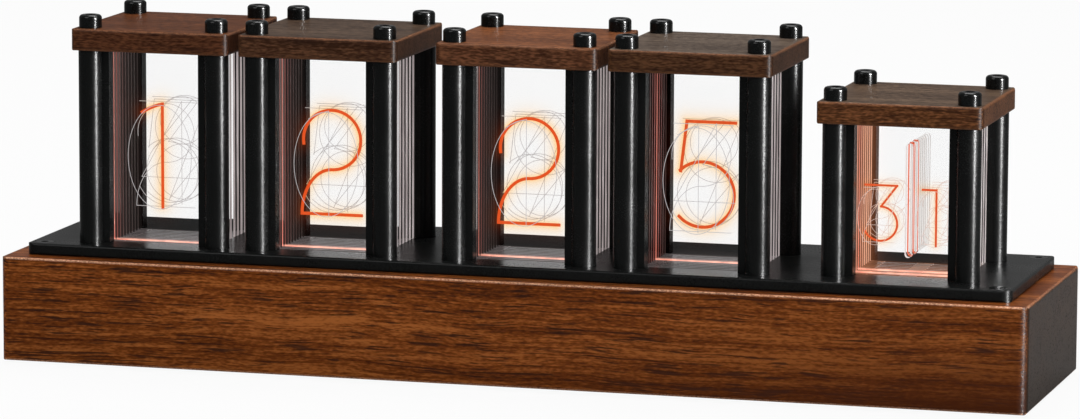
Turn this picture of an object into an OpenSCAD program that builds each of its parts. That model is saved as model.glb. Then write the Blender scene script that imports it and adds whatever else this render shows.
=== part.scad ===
// Desk clock with edge-lit digit plates: a hollow walnut base carries a black metal plate, and on it
// stand four tall display modules in two pairs and a shorter date module.
// X runs along the base, Y from front to back, Z up. The origin is on the table, under the middle.

/* [Base block] */
// Length of the walnut base
base_length = 320; // [310:1:380]
// Depth of the walnut base, front to back
base_depth = 82; // [80:1:110]
// Height of the walnut base
base_height = 32.2; // [31:0.2:44]
// Radius of the upright corner edges
base_corner_radius = 3; // [1:0.5:5]
// Radius of the eased long edges
base_edge_radius = 1; // [0.4:0.2:2]
// Wall left round the hollow
base_wall = 12; // [11:0.5:13]
// Thickness of the deck over the hollow
deck_thickness = 8; // [7:0.5:9]
// Radius of the hollow's upright corners
cavity_radius = 3; // [1.5:0.5:6]
// Radius of the upright corners of the windows in the deck
window_radius = 1.5; // [0.5:0.25:3]

/* [Top plate] */
// Distance from the base's edge to the plate's edge
plate_inset = 6.2; // [4:0.2:7]
// Thickness of the black plate
plate_thickness = 3.6; // [3.4:0.1:5]
// Corner radius of the plate in plan
plate_corner_radius = 3; // [1:0.5:6]
// Radius of its eased edges
plate_edge_radius = 0.7; // [0.2:0.1:1.2]
// Distance from the plate's edges to its corner screws
plate_screw_inset = 4.5; // [4:0.25:6]
// Head diameter of the countersunk plate screws
plate_screw_head = 6; // [5:0.5:7]
// Shank diameter of the plate screws
plate_screw_shank = 3.5; // [3:0.5:4]
// Length of the plate screws
plate_screw_length = 16; // [12:1:20]
// Width of the plate screws' sockets, corner to corner
plate_screw_socket = 2.5; // [2:0.25:3]

/* [Modules] */
// Distance between the two modules of a pair
pair_pitch = 53.6; // [52:0.2:56]
// Distance between neighbouring modules of different groups
group_pitch = 62.6; // [60:0.2:66]
// Shift of the whole row to the right of the base's middle
row_shift = 1.3; // [0:0.1:3]
// Shift of the tall modules to the front of the base's middle
tall_module_forward = 6.4; // [4:0.2:7]
// Shift of the date module to the front of the base's middle
date_module_forward = 0.8; // [0:0.2:6]
// Distance between the posts of a module, both ways
post_spacing = 40.6; // [39.6:0.2:42]
// Shift of a module's digit plates to the right of its posts' middle
stack_shift = 1.4; // [0:0.1:1.6]

/* [Caps] */
// Side of the square walnut caps
cap_side = 50.5; // [49.5:0.5:52]
// Thickness of the caps
cap_thickness = 6.8; // [5:0.2:9]
// Radius of the upright corner edges of the caps
cap_corner_radius = 2.25; // [0.5:0.25:3]
// Radius of the eased edges of the caps
cap_edge_radius = 1; // [0.2:0.1:1.2]
// Depth of the grooves that hold the plates' top edges
cap_groove_depth = 1.4; // [1:0.1:2]

/* [Posts] */
// Diameter of the posts
post_diameter = 7.5; // [7:0.1:8.2]
// Reach of the fin from the post's axis towards the module's middle
fin_reach = 5.9; // [4.5:0.1:6.5]
// Depth of the fin, front to back
fin_depth = 4; // [2:0.25:5]
// Free length of the tall posts, from the plate to the cap
tall_post_length = 59.6; // [50:0.2:80]
// Free length of the date module's posts
date_post_length = 45.8; // [40:0.2:60]
// Depth of the seat in the plate that locates each post's foot
post_seat_depth = 0.6; // [0.4:0.1:1]

/* [Cap screws] */
// Head diameter of the socket-head cap screws
cap_screw_head = 7; // [6:0.25:8]
// Head height
cap_screw_head_height = 4; // [3:0.25:5]
// Shank diameter
cap_screw_shank = 4; // [3:0.5:5]
// Length of the shank below the cap, inside the post
cap_screw_grip = 7; // [5:0.5:12]
// Width across flats of the hexagon socket
cap_screw_socket = 3; // [2:0.5:3.5]
// Depth of the hexagon socket
cap_screw_socket_depth = 2; // [1.5:0.25:2.5]
// Radius of the rounded rim of the head
cap_screw_rim_radius = 1.1; // [0.3:0.1:1.4]

/* [Digit plates] */
// Time that the lit plates show, four digits
shown_time = "1225";
// Day of the month that the lit date plates show, two digits
shown_date = "31";
// Number of digit plates in a module
digit_count = 10; // [10]
// Thickness of a digit plate
digit_plate_thickness = 2; // [1.5:0.1:2.4]
// Width of a digit plate
digit_plate_width = 34; // [31:0.2:36]
// Length of a digit plate's top edge that sits in the cap's groove
digit_plate_entry = 1.1; // [0.6:0.1:1.2]
// Width of the tongue under a tall module's plate
tongue_width = 25; // [20:0.5:25]
// Width of each of the two tongues under a date plate
date_tongue_width = 10; // [8:0.5:10]
// Distance between the middles of a date plate's two tongues
date_tongue_pitch = 15; // [14:0.5:15]
// Width of the slit between the two digits of a date plate
date_slit_width = 2; // [1:0.25:3]
// Bare height below the date plate's slit
date_slit_foot = 5.5; // [3:0.5:8]
// Bare height above the date plate's slit
date_slit_head = 6; // [3:0.5:8]

/* [Light boards] */
// Length of a slot block and its light board, along X
light_board_length = 38; // [36:0.5:40]
// Depth of a slot block and its light board, front to back
light_board_depth = 36; // [35.5:0.25:38]
// Height of a slot block
slot_block_height = 6; // [5:0.25:8]
// Thickness of every circuit board
board_thickness = 1.6; // [1:0.2:2]
// Length, depth and height of one light-emitting diode
led_size = [3.5, 1.8, 0.9];
// Distance between the two diodes under a tall module's plate
led_pitch = 14; // [8:0.5:20]
// Distance of the light board screws from the module's middle
light_screw_offset = 16.7; // [16.5:0.1:17]
// Shank diameter of the light board screws
light_screw_shank = 2; // [1.6:0.2:2.4]
// Head diameter of the light board screws
light_screw_head = 3.6; // [3:0.2:4]
// Head height of the light board screws
light_screw_head_height = 1.2; // [0.8:0.1:1.6]
// Depth of the light board screws' holes in the plate
light_screw_grip = 2.2; // [1.5:0.1:2.6]

/* [Post screws] */
// Head diameter of the countersunk screws that hold the posts from below
post_screw_head = 6; // [5:0.25:6.5]
// Shank diameter of the post screws
post_screw_shank = 3; // [2.5:0.25:3.5]
// Length of the post screws inside the posts
post_screw_grip = 8; // [5:0.5:12]
// Width of the post screws' sockets, corner to corner
post_screw_socket = 2; // [1.5:0.25:2.5]

/* [Bottom cover and feet] */
// Margin of bare wood round the bottom cover
cover_margin = 5; // [4:0.5:6]
// Thickness of the bottom cover
cover_thickness = 2; // [1.5:0.25:3]
// Depth of the cover's outer face inside the base's underside
cover_recess = 0.2; // [0.1:0.1:0.6]
// Distance along X from the middle to the inner cover screws
cover_screw_inner = 80; // [70:1:100]
// Head diameter of the countersunk cover screws
cover_screw_head = 5; // [4:0.25:5.5]
// Shank diameter of the cover screws
cover_screw_shank = 2.8; // [2:0.2:3]
// Length of the cover screws
cover_screw_length = 10; // [8:0.5:14]
// Width of the cover screws' sockets, corner to corner
cover_screw_socket = 2; // [1.5:0.25:2.5]
// Diameter of the rubber feet
foot_diameter = 14; // [10:1:18]
// Height of the feet below the wood
foot_height = 0.8; // [0.6:0.1:3]
// Depth of the feet's seats in the cover
foot_seat_depth = 0.5; // [0.3:0.1:1]
// Distance from the cover's edges to the middles of the feet
foot_inset = 14; // [13:0.5:20]

/* [Main board] */
// Gap between the main board's edge and the hollow's walls
board_gap = 3; // [2:0.5:5]
// Corner radius of the main board
board_corner_radius = 2; // [1:0.5:4]
// Length of the spacers that hang the main board under the deck
spacer_length = 11.4; // [9:0.2:13]
// Outer diameter of the spacers
spacer_diameter = 6; // [5:0.5:8]
// Distance of the outer spacers from the hollow's walls
spacer_offset = 7; // [6.5:0.25:9]
// Shank diameter of the main board screws
board_screw_shank = 3; // [2.5:0.25:3.5]
// Head diameter of the main board screws
board_screw_head = 5.5; // [5:0.25:6]
// Head height of the main board screws
board_screw_head_height = 2; // [1.5:0.25:2.5]
// Depth of the main board screws in the deck
board_screw_grip = 5; // [4:0.5:6]
// Width of the main board screws' sockets, corner to corner
board_screw_socket = 2.8; // [2:0.2:3]
// Side of the controller chip
controller_side = 12; // [8:1:16]
// Thickness of the chips
chip_height = 1.4; // [1:0.1:2]
// Length and depth of one driver chip
driver_size = [10, 6];
// Distance from a header to the driver chip behind it
driver_gap = 7.5; // [2:0.5:10]
// Length and depth of a header that links a light board to the main board
header_size = [15.2, 5];
// Diameter of the backup coin cell
coin_cell_diameter = 20; // [16:1:24]
// Thickness of the backup coin cell
coin_cell_thickness = 3.2; // [2:0.1:4]
// Wall of the coin cell holder
coin_holder_wall = 1.5; // [1:0.25:2]
// Place of the coin cell along the base
coin_cell_x = -60; // [-80:1:-45]

/* [Inlet and buttons] */
// Thickness of the rear wall behind the inlet and the buttons
io_wall = 4; // [3.5:0.25:5]
// Length of the thinned stretch of rear wall
io_length = 104; // [100:1:120]
// Height of the common axis of inlet and switches above the main board
io_axis_height = 1.8; // [1.7:0.05:2]
// Place of the power inlet along the base
inlet_x = -30; // [-36:1:-24]
// Width and length of the inlet's metal shell
inlet_shell = [9, 7.4];
// Wall of the inlet's shell
inlet_shell_wall = 0.35; // [0.3:0.05:0.4]
// Thickness of the inlet's contact tongue
inlet_tongue = 0.7; // [0.5:0.05:0.9]
// Width and height of the opening for the plug
inlet_opening = [13, 7.2];
// Corner radius of that opening
inlet_opening_radius = 1.5; // [0.5:0.25:2.5]
// Depth of the inlet's mouth behind the thinned rear wall
inlet_setback = 1; // [0.5:0.25:2]
// Place of the middle button along the base
button_x = 20; // [16:1:24]
// Distance between neighbouring buttons
button_pitch = 15; // [12:0.5:17]
// Diameter of a button
button_diameter = 7; // [6:0.25:8]
// Radial gap between a button and its hole
button_clearance = 0.2; // [0.15:0.05:0.4]
// Diameter of the collar that keeps a button in its hole
button_collar = 9.4; // [8.6:0.1:10]
// Thickness of that collar
button_collar_thickness = 1.2; // [0.8:0.1:1.5]
// Depth of the finger dish round the buttons
dish_depth = 1.5; // [1:0.1:2]
// Height of the finger dish
dish_height = 12; // [10:0.5:13]
// Depth of a button's face inside the base's rear face
button_recess = 0.3; // [0.1:0.1:0.6]
// Radius of the rounded rim of a button
button_rim_radius = 0.6; // [0.2:0.1:0.9]
// Travel of a button
button_travel = 0.6; // [0.3:0.1:0.8]
// Width and depth of a switch housing
switch_size = [7, 4];
// Wall at the closed end of a switch housing
switch_wall = 0.8; // [0.5:0.1:1.2]
// Diameter of a switch's plunger
plunger_diameter = 2.4; // [2:0.1:2.6]
// Free length of the plunger at rest
plunger_reach = 1.3; // [1:0.1:1.6]

/* [Clearances] */
// Gap round the digit plates in their grooves and slots, on each side
plate_fit = 0.1; // [0.05:0.05:0.2]
// Gap between the outer digit plates and the posts
stack_clearance = 0.2; // [0.1:0.05:0.4]
// Radial gap of screw shanks in their holes
screw_clearance = 0.15; // [0.1:0.05:0.25]
// Gap round pieces that drop into a pocket
pocket_clearance = 0.3; // [0.2:0.05:0.5]
// Gap between a slot block and the window in the deck
window_clearance = 1; // [0.5:0.25:2]

/* [Hidden] */
$fn = 64;
cut = 1;  // overrun of a cutting tool past the face that it opens

// Heights
base_bottom = foot_height;
base_top = base_bottom + base_height;
deck_bottom = base_top - deck_thickness;
plate_top = base_top + plate_thickness;
cover_bottom = base_bottom + cover_recess;
cover_top = cover_bottom + cover_thickness;
block_bottom = base_top - slot_block_height;
light_board_bottom = block_bottom - board_thickness;
main_board_top = deck_bottom - spacer_length;
main_board_bottom = main_board_top - board_thickness;
io_axis = main_board_top + io_axis_height;

// Plan of the base
half_length = base_length / 2;
half_depth = base_depth / 2;
cavity = [base_length - 2 * base_wall, base_depth - 2 * base_wall];
top_plate_plan = [base_length - 2 * plate_inset, base_depth - 2 * plate_inset];
cover_pocket = [base_length - 2 * cover_margin, base_depth - 2 * cover_margin];
cover_plan = [cover_pocket.x - 2 * pocket_clearance, cover_pocket.y - 2 * pocket_clearance];
cover_screw_line = (cover_margin + base_wall) / 2;
io_face = half_depth - io_wall;
switch_face = io_face - pocket_clearance - button_collar_thickness - plunger_reach;
inlet_face = io_face - inlet_setback;
board_rear = switch_face;

// The modules: name, place, free post length, lit digits, and whether the plates hold two digits
row_start = row_shift - pair_pitch - group_pitch;
MODULES = [
    ["hour_tens", [row_start, -tall_module_forward], tall_post_length, shown_time[0], false],
    ["hour_units", [row_start + pair_pitch, -tall_module_forward], tall_post_length, shown_time[1], false],
    ["minute_tens", [row_start + pair_pitch + group_pitch, -tall_module_forward],
        tall_post_length, shown_time[2], false],
    ["minute_units", [row_start + 2 * pair_pitch + group_pitch, -tall_module_forward],
        tall_post_length, shown_time[3], false],
    ["date", [row_start + 2 * pair_pitch + 2 * group_pitch, -date_module_forward],
        date_post_length, shown_date, true]
];
CORNERS = [for (sx = [-1, 1], sy = [-1, 1]) [sx, sy]];
BUTTONS = ["set", "up", "down"];

// The stack of digit plates fills the room between the front and rear posts
stack_depth = post_spacing - post_diameter - 2 * stack_clearance;
digit_pitch = (stack_depth - digit_plate_thickness) / (digit_count - 1);
tongue_length = plate_thickness + slot_block_height - led_size.z - pocket_clearance;

function place(m) = m[1];
function stack_place(m) = m[1] + [stack_shift, 0];
function free_length(m) = m[2];
function lit(m) = m[3];
function two_digits(m) = m[4];
function module_x(i) = MODULES[i][1].x;
function digit_y(i) = (i - (digit_count - 1) / 2) * digit_pitch;
function is_lit(m, i) = len([for (digit = lit(m)) if (digit == str(i)) digit]) > 0;
function tongue_places(m) = two_digits(m) ? [-date_tongue_pitch / 2, date_tongue_pitch / 2] : [0];
function tongue_size(m) = two_digits(m) ? date_tongue_width : tongue_width;
function led_places(m) = two_digits(m) ? tongue_places(m) : [-led_pitch / 2, led_pitch / 2];
function button_place(i) = button_x + (i - 1) * button_pitch;

// Two spacers at each end of the hollow and two under each wide rib of the deck
spacer_columns = [
    spacer_offset - cavity.x / 2,
    (module_x(1) + module_x(2)) / 2,
    (module_x(3) + module_x(4)) / 2,
    cavity.x / 2 - spacer_offset
];
SPACERS = [for (x = spacer_columns, s = [-1, 1]) [x, s * (cavity.y / 2 - spacer_offset)]];

cover_screw_columns = [half_length - cover_screw_line, cover_screw_inner];
COVER_SCREWS = [for (x = cover_screw_columns, c = CORNERS) [c.x * x, c.y * (half_depth - cover_screw_line)]];
FEET = [for (c = CORNERS) [c.x * (cover_plan.x / 2 - foot_inset), c.y * (cover_plan.y / 2 - foot_inset)]];
PLATE_SCREWS = [for (c = CORNERS) [
    c.x * (top_plate_plan.x / 2 - plate_screw_inset), c.y * (top_plate_plan.y / 2 - plate_screw_inset)
]];

walnut = "#7a4426";
black_metal = "#17181a";
black_plastic = "#1f1f21";
clear_plastic = [0.9, 0.92, 0.93, 0.35];
lit_plastic = [1, 0.5, 0.25, 0.5];
board_green = "#1d5a3c";
bright_metal = "#c5c8cc";

// Rectangle with round corners, about the origin
module rounded_rectangle(size, radius) {
    square([size.x - 2 * radius, size.y], center = true);
    square([size.x, size.y - 2 * radius], center = true);
    for (c = CORNERS)
        translate([c.x * (size.x / 2 - radius), c.y * (size.y / 2 - radius)])
            circle(r = radius);
}

// Slot with round ends along X, about the origin
module stadium(length, width) {
    square([length - width, width], center = true);
    for (s = [-1, 1])
        translate([s * (length - width) / 2, 0])
            circle(d = width);
}

// Block standing on z = 0 whose upright edges have one radius and whose other edges another
module eased_block(size, corner_radius, edge_radius) {
    translate([0, 0, size.z / 2])
        intersection() {
            linear_extrude(size.z, center = true)
                rounded_rectangle([size.x, size.y], corner_radius);
            rotate([90, 0, 0])
                linear_extrude(size.y, center = true)
                    rounded_rectangle([size.x, size.z], edge_radius);
            rotate([90, 0, 90])
                linear_extrude(size.x, center = true)
                    rounded_rectangle([size.y, size.z], edge_radius);
        }
}

// Straight pocket with round corners, cut upwards from z = 0
module pocket(size, radius) {
    linear_extrude(size.z)
        rounded_rectangle([size.x, size.y], radius);
}

// Disc standing on z = 0 with a rounded upper rim
module rounded_disc(diameter, height, rim) {
    radius = diameter / 2;
    rotate_extrude() {
        square([radius, height - rim]);
        square([radius - rim, height]);
        translate([radius - rim, height - rim])
            intersection() {
                circle(r = rim);
                square(rim);
            }
    }
}

// Countersunk screw pointing down, its flat head's top on z = 0
module countersunk_screw(head, shank, length, socket) {
    sink = (head - shank) / 2;
    difference() {
        union() {
            translate([0, 0, -sink])
                cylinder(d1 = shank, d2 = head, h = sink);
            translate([0, 0, -length])
                cylinder(d = shank, h = length);
        }
        translate([0, 0, -sink])
            cylinder(d = socket, h = sink + cut, $fn = 6);
    }
}

// The hole for such a screw, with its clearance all round
module countersunk_hole(head, shank, length) {
    wide = head + 2 * screw_clearance;
    narrow = shank + 2 * screw_clearance;
    sink = (wide - narrow) / 2;
    translate([0, 0, -sink])
        cylinder(d1 = narrow, d2 = wide, h = sink);
    cylinder(d = wide, h = cut);
    translate([0, 0, -length])
        cylinder(d = narrow, h = length);
}

// Places its children at every post of a module, at z = 0
module at_posts(m) {
    for (c = CORNERS)
        translate([place(m).x + c.x * post_spacing / 2, place(m).y + c.y * post_spacing / 2, 0])
            children();
}

// Section of the post at one corner: a round bar with a fin along the stack's outer face
module post_section(c, grow) {
    reach = fin_reach + grow;
    fin_outer = post_diameter / 2 - fin_depth - grow;
    circle(d = post_diameter + 2 * grow);
    translate([c.x < 0 ? 0 : -reach, c.y < 0 ? fin_outer : -post_diameter / 2 - grow])
        square([reach, fin_depth + 2 * grow]);
}

// Posts of a module as upright bars from one height to another
module post_bars(m, bottom, top, grow) {
    for (c = CORNERS)
        translate([place(m).x + c.x * post_spacing / 2, place(m).y + c.y * post_spacing / 2, bottom])
            linear_extrude(top - bottom)
                post_section(c, grow);
}

// Slots for a module's tongues, from one height to another
module tongue_slots(m, bottom, top) {
    slot = [tongue_size(m) + 2 * plate_fit, digit_plate_thickness + 2 * plate_fit];
    for (i = [0 : digit_count - 1], x = tongue_places(m))
        translate([stack_place(m).x + x - slot.x / 2, stack_place(m).y + digit_y(i) - slot.y / 2, bottom])
            cube([slot.x, slot.y, top - bottom]);
}

// Places its children at the two light board screws of a module
module at_light_screws(m) {
    for (s = [-1, 1])
        translate([stack_place(m).x + s * light_screw_offset, stack_place(m).y, 0])
            children();
}

// Rear face openings are drawn with their axes along Y, from one depth to another
module along_y(x, z, from, to) {
    translate([x, to, z])
        rotate([90, 0, 0])
            linear_extrude(to - from)
                children();
}

module base_block() {
    color(walnut)
        difference() {
            translate([0, 0, base_bottom])
                eased_block([base_length, base_depth, base_height], base_corner_radius, base_edge_radius);
            // The hollow, the cover's pocket and the thinned rear wall
            translate([0, 0, base_bottom - cut])
                pocket([cavity.x, cavity.y, deck_bottom - base_bottom + cut], cavity_radius);
            translate([0, 0, base_bottom - cut])
                pocket([cover_pocket.x, cover_pocket.y, cover_top - base_bottom + cut], base_corner_radius);
            translate([-io_length / 2, 0, cover_top])
                cube([io_length, io_face, deck_bottom - cover_top]);
            // Windows for the slot blocks
            for (m = MODULES)
                translate([stack_place(m).x, stack_place(m).y, deck_bottom - cut])
                    pocket([light_board_length + 2 * window_clearance,
                        light_board_depth + 2 * window_clearance, deck_thickness + 2 * cut], window_radius);
            // Rear face: plug opening, finger dish and button holes
            along_y(inlet_x, io_axis, io_face - cut, half_depth + cut)
                rounded_rectangle(inlet_opening, inlet_opening_radius);
            along_y(button_x, io_axis, half_depth - dish_depth, half_depth + cut)
                stadium(2 * button_pitch + dish_height, dish_height);
            for (i = [0 : len(BUTTONS) - 1])
                along_y(button_place(i), io_axis, io_face - cut, half_depth)
                    circle(d = button_diameter + 2 * button_clearance);
            // Pilot holes
            for (p = PLATE_SCREWS)
                translate([p.x, p.y, plate_top - plate_screw_length])
                    cylinder(d = plate_screw_shank + 2 * screw_clearance, h = plate_screw_length);
            for (p = COVER_SCREWS)
                translate([p.x, p.y, cover_bottom])
                    cylinder(d = cover_screw_shank + 2 * screw_clearance, h = cover_screw_length);
            for (p = SPACERS)
                translate([p.x, p.y, deck_bottom - cut])
                    cylinder(d = board_screw_shank + 2 * screw_clearance, h = board_screw_grip + cut);
        }
}

module top_plate() {
    color(black_metal)
        difference() {
            translate([0, 0, base_top])
                eased_block([top_plate_plan.x, top_plate_plan.y, plate_thickness],
                    plate_corner_radius, plate_edge_radius);
            for (m = MODULES) {
                tongue_slots(m, base_top - cut, plate_top + cut);
                post_bars(m, plate_top - post_seat_depth, plate_top + cut, screw_clearance);
                at_posts(m)
                    translate([0, 0, base_top])
                        mirror([0, 0, 1])
                            countersunk_hole(post_screw_head, post_screw_shank, plate_thickness);
                at_light_screws(m)
                    translate([0, 0, base_top - cut])
                        cylinder(d = light_screw_shank + 2 * screw_clearance, h = light_screw_grip + cut);
            }
            for (p = PLATE_SCREWS)
                translate([p.x, p.y, plate_top])
                    countersunk_hole(plate_screw_head, plate_screw_shank, plate_thickness + cut);
        }
}

module top_plate_screws() {
    color(black_metal)
        for (p = PLATE_SCREWS)
            translate([p.x, p.y, plate_top])
                countersunk_screw(plate_screw_head, plate_screw_shank, plate_screw_length,
                    plate_screw_socket);
}

module bottom_cover() {
    color(black_metal)
        difference() {
            translate([0, 0, cover_bottom])
                pocket([cover_plan.x, cover_plan.y, cover_thickness], base_corner_radius);
            for (p = COVER_SCREWS)
                translate([p.x, p.y, cover_bottom])
                    mirror([0, 0, 1])
                        countersunk_hole(cover_screw_head, cover_screw_shank, cover_thickness + cut);
            for (p = FEET)
                translate([p.x, p.y, cover_bottom - cut])
                    cylinder(d = foot_diameter + 2 * pocket_clearance, h = foot_seat_depth + cut);
        }
}

module bottom_cover_screws() {
    color(black_metal)
        for (p = COVER_SCREWS)
            translate([p.x, p.y, cover_bottom])
                mirror([0, 0, 1])
                    countersunk_screw(cover_screw_head, cover_screw_shank, cover_screw_length,
                        cover_screw_socket);
}

// A foot is a disc with a bevelled sole
module rubber_feet() {
    bevel = foot_height / 2;
    color(black_plastic)
        for (p = FEET)
            translate([p.x, p.y, 0]) {
                cylinder(d1 = foot_diameter - 2 * bevel, d2 = foot_diameter, h = bevel);
                translate([0, 0, bevel])
                    cylinder(d = foot_diameter, h = cover_bottom + foot_seat_depth - bevel);
            }
}

module main_board() {
    board = [cavity.x - 2 * board_gap, cavity.y - 2 * board_gap];
    tab = io_length - 2 * board_gap;
    color(board_green)
        difference() {
            translate([0, 0, main_board_bottom])
                linear_extrude(board_thickness) {
                    rounded_rectangle(board, board_corner_radius);
                    translate([-tab / 2, 0])
                        square([tab, board_rear]);
                }
            for (p = SPACERS)
                translate([p.x, p.y, main_board_bottom - cut])
                    cylinder(d = board_screw_shank + 2 * screw_clearance, h = board_thickness + 2 * cut);
        }
}

module main_board_spacers() {
    color(black_plastic)
        for (p = SPACERS)
            translate([p.x, p.y, main_board_top])
                difference() {
                    cylinder(d = spacer_diameter, h = spacer_length);
                    translate([0, 0, -cut])
                        cylinder(d = board_screw_shank + 2 * screw_clearance, h = spacer_length + 2 * cut);
                }
}

module main_board_screws() {
    shank = board_thickness + spacer_length + board_screw_grip;
    color(bright_metal)
        for (p = SPACERS)
            translate([p.x, p.y, main_board_bottom]) {
                cylinder(d = board_screw_shank, h = shank);
                translate([0, 0, -board_screw_head_height])
                    difference() {
                        cylinder(d = board_screw_head, h = board_screw_head_height);
                        translate([0, 0, -cut])
                            cylinder(d = board_screw_socket, h = board_screw_head_height / 2 + cut, $fn = 6);
                    }
            }
}

// The controller and, beside each module's header, the driver of its diodes
module main_board_chips() {
    color(black_plastic) {
        translate([(module_x(1) + module_x(2)) / 2, 0, main_board_top])
            translate([-controller_side / 2, -controller_side / 2, 0])
                cube([controller_side, controller_side, chip_height]);
        for (m = MODULES)
            translate([stack_place(m).x - driver_size.x / 2,
                stack_place(m).y + header_size.y / 2 + driver_gap, main_board_top])
                cube([driver_size.x, driver_size.y, chip_height]);
    }
}

// Each header stands on the main board and carries the light board of one module
module board_headers() {
    color(black_plastic)
        for (m = MODULES)
            translate([stack_place(m).x - header_size.x / 2, stack_place(m).y - header_size.y / 2,
                main_board_top])
                cube([header_size.x, header_size.y, light_board_bottom - main_board_top]);
}

// A shallow cup under the main board, open on one side so that the cell slides in
module coin_cell_holder() {
    outer = coin_cell_diameter + 2 * pocket_clearance + 2 * coin_holder_wall;
    height = coin_cell_thickness + coin_holder_wall;
    color(black_plastic)
        translate([coin_cell_x, 0, main_board_bottom - height])
            difference() {
                cylinder(d = outer, h = height);
                translate([0, 0, -cut])
                    cylinder(d = coin_cell_diameter + 2 * pocket_clearance, h = coin_cell_thickness + cut);
                translate([0, -outer, -cut])
                    cube([outer, 2 * outer, coin_cell_thickness + cut]);
            }
}

module coin_cell() {
    color(bright_metal)
        translate([coin_cell_x, 0, main_board_bottom - coin_holder_wall - coin_cell_thickness])
            cylinder(d = coin_cell_diameter, h = coin_cell_thickness);
}

// Metal shell with round ends, closed at the back, with its contact tongue
module power_inlet() {
    height = 2 * io_axis_height;
    back = 2 * inlet_shell_wall;
    inner = [inlet_shell.x - 2 * inlet_shell_wall, height - 2 * inlet_shell_wall];
    color(bright_metal)
        difference() {
            along_y(inlet_x, io_axis, inlet_face - inlet_shell.y, inlet_face)
                stadium(inlet_shell.x, height);
            difference() {
                along_y(inlet_x, io_axis, inlet_face - inlet_shell.y + back, inlet_face + cut)
                    stadium(inner.x, inner.y);
                along_y(inlet_x, io_axis, inlet_face - inlet_shell.y, inlet_face - inlet_tongue)
                    square([inner.x - inner.y, inlet_tongue], center = true);
            }
        }
}

module tact_switches() {
    height = 2 * io_axis_height;
    color(black_plastic)
        for (i = [0 : len(BUTTONS) - 1])
            difference() {
                translate([button_place(i) - switch_size.x / 2, switch_face - switch_size.y, main_board_top])
                    cube([switch_size.x, switch_size.y, height]);
                along_y(button_place(i), io_axis, switch_face - switch_size.y + switch_wall,
                    switch_face + cut)
                    circle(d = plunger_diameter + 2 * button_clearance);
            }
}

// A button with a rounded rim, and the collar that keeps it in its hole
module button(i) {
    collar_face = io_face - pocket_clearance;
    color(black_plastic)
        translate([button_place(i), collar_face, io_axis])
            rotate([-90, 0, 0]) {
                rounded_disc(button_diameter, half_depth - button_recess - collar_face, button_rim_radius);
                translate([0, 0, -button_collar_thickness])
                    cylinder(d = button_collar, h = button_collar_thickness);
            }
}

module plunger(i) {
    color(bright_metal)
        along_y(button_place(i), io_axis, switch_face - button_travel, switch_face + plunger_reach)
            circle(d = plunger_diameter);
}

module post_screws() {
    color(bright_metal)
        for (m = MODULES)
            at_posts(m)
                translate([0, 0, base_top])
                    mirror([0, 0, 1])
                        countersunk_screw(post_screw_head, post_screw_shank,
                            plate_thickness - post_seat_depth + post_screw_grip, post_screw_socket);
}

module leds() {
    color("white")
        for (m = MODULES, i = [0 : digit_count - 1], x = led_places(m))
            translate([stack_place(m).x + x - led_size.x / 2, stack_place(m).y + digit_y(i) - led_size.y / 2,
                block_bottom])
                cube(led_size);
}

module light_board_screws() {
    shank = board_thickness + slot_block_height + light_screw_grip - pocket_clearance;
    color(bright_metal)
        for (m = MODULES)
            at_light_screws(m)
                translate([0, 0, light_board_bottom]) {
                    cylinder(d = light_screw_shank, h = shank);
                    translate([0, 0, -light_screw_head_height])
                        cylinder(d = light_screw_head, h = light_screw_head_height);
                }
}

module module_cap(m) {
    bottom = plate_top + free_length(m);
    groove = [digit_plate_width + 2 * plate_fit, digit_plate_thickness + 2 * plate_fit];
    color(walnut)
        difference() {
            translate([place(m).x, place(m).y, bottom])
                eased_block([cap_side, cap_side, cap_thickness], cap_corner_radius, cap_edge_radius);
            for (i = [0 : digit_count - 1])
                translate([stack_place(m).x - groove.x / 2, stack_place(m).y + digit_y(i) - groove.y / 2,
                    bottom - cut])
                    cube([groove.x, groove.y, cap_groove_depth + cut]);
            at_posts(m)
                translate([0, 0, bottom - cut])
                    cylinder(d = cap_screw_shank + 2 * screw_clearance, h = cap_thickness + 2 * cut);
        }
}

module module_posts(m) {
    foot = plate_top - post_seat_depth;
    head = plate_top + free_length(m);
    color(black_metal)
        difference() {
            post_bars(m, foot, head, 0);
            at_posts(m) {
                translate([0, 0, foot - cut])
                    cylinder(d = post_screw_shank + 2 * screw_clearance, h = post_screw_grip + 2 * cut);
                translate([0, 0, head - cap_screw_grip - cut])
                    cylinder(d = cap_screw_shank + 2 * screw_clearance, h = cap_screw_grip + 2 * cut);
            }
        }
}

// Socket-head cap screw: a revolved head with a rounded rim, a hexagon socket and a plain shank
module cap_screw() {
    difference() {
        union() {
            rounded_disc(cap_screw_head, cap_screw_head_height, cap_screw_rim_radius);
            translate([0, 0, -cap_thickness - cap_screw_grip])
                cylinder(d = cap_screw_shank, h = cap_thickness + cap_screw_grip + cut);
        }
        translate([0, 0, cap_screw_head_height - cap_screw_socket_depth])
            cylinder(d = cap_screw_socket / cos(30), h = cap_screw_socket_depth + cut, $fn = 6);
    }
}

module module_cap_screws(m) {
    color(black_metal)
        at_posts(m)
            translate([0, 0, plate_top + free_length(m) + cap_thickness])
                cap_screw();
}

// A clear plate stands on the metal plate on its shoulders and reaches into the cap and the slot block
module digit_plate(m) {
    height = free_length(m) + digit_plate_entry;
    slit = free_length(m) - date_slit_foot - date_slit_head;
    rotate([90, 0, 0])
        linear_extrude(digit_plate_thickness, center = true)
            difference() {
                union() {
                    translate([-digit_plate_width / 2, 0])
                        square([digit_plate_width, height]);
                    for (x = tongue_places(m))
                        translate([x - tongue_size(m) / 2, -tongue_length])
                            square([tongue_size(m), tongue_length + digit_plate_entry]);
                }
                if (two_digits(m))
                    translate([0, date_slit_foot + slit / 2])
                        rotate(90)
                            stadium(slit, date_slit_width);
            }
}

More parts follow.
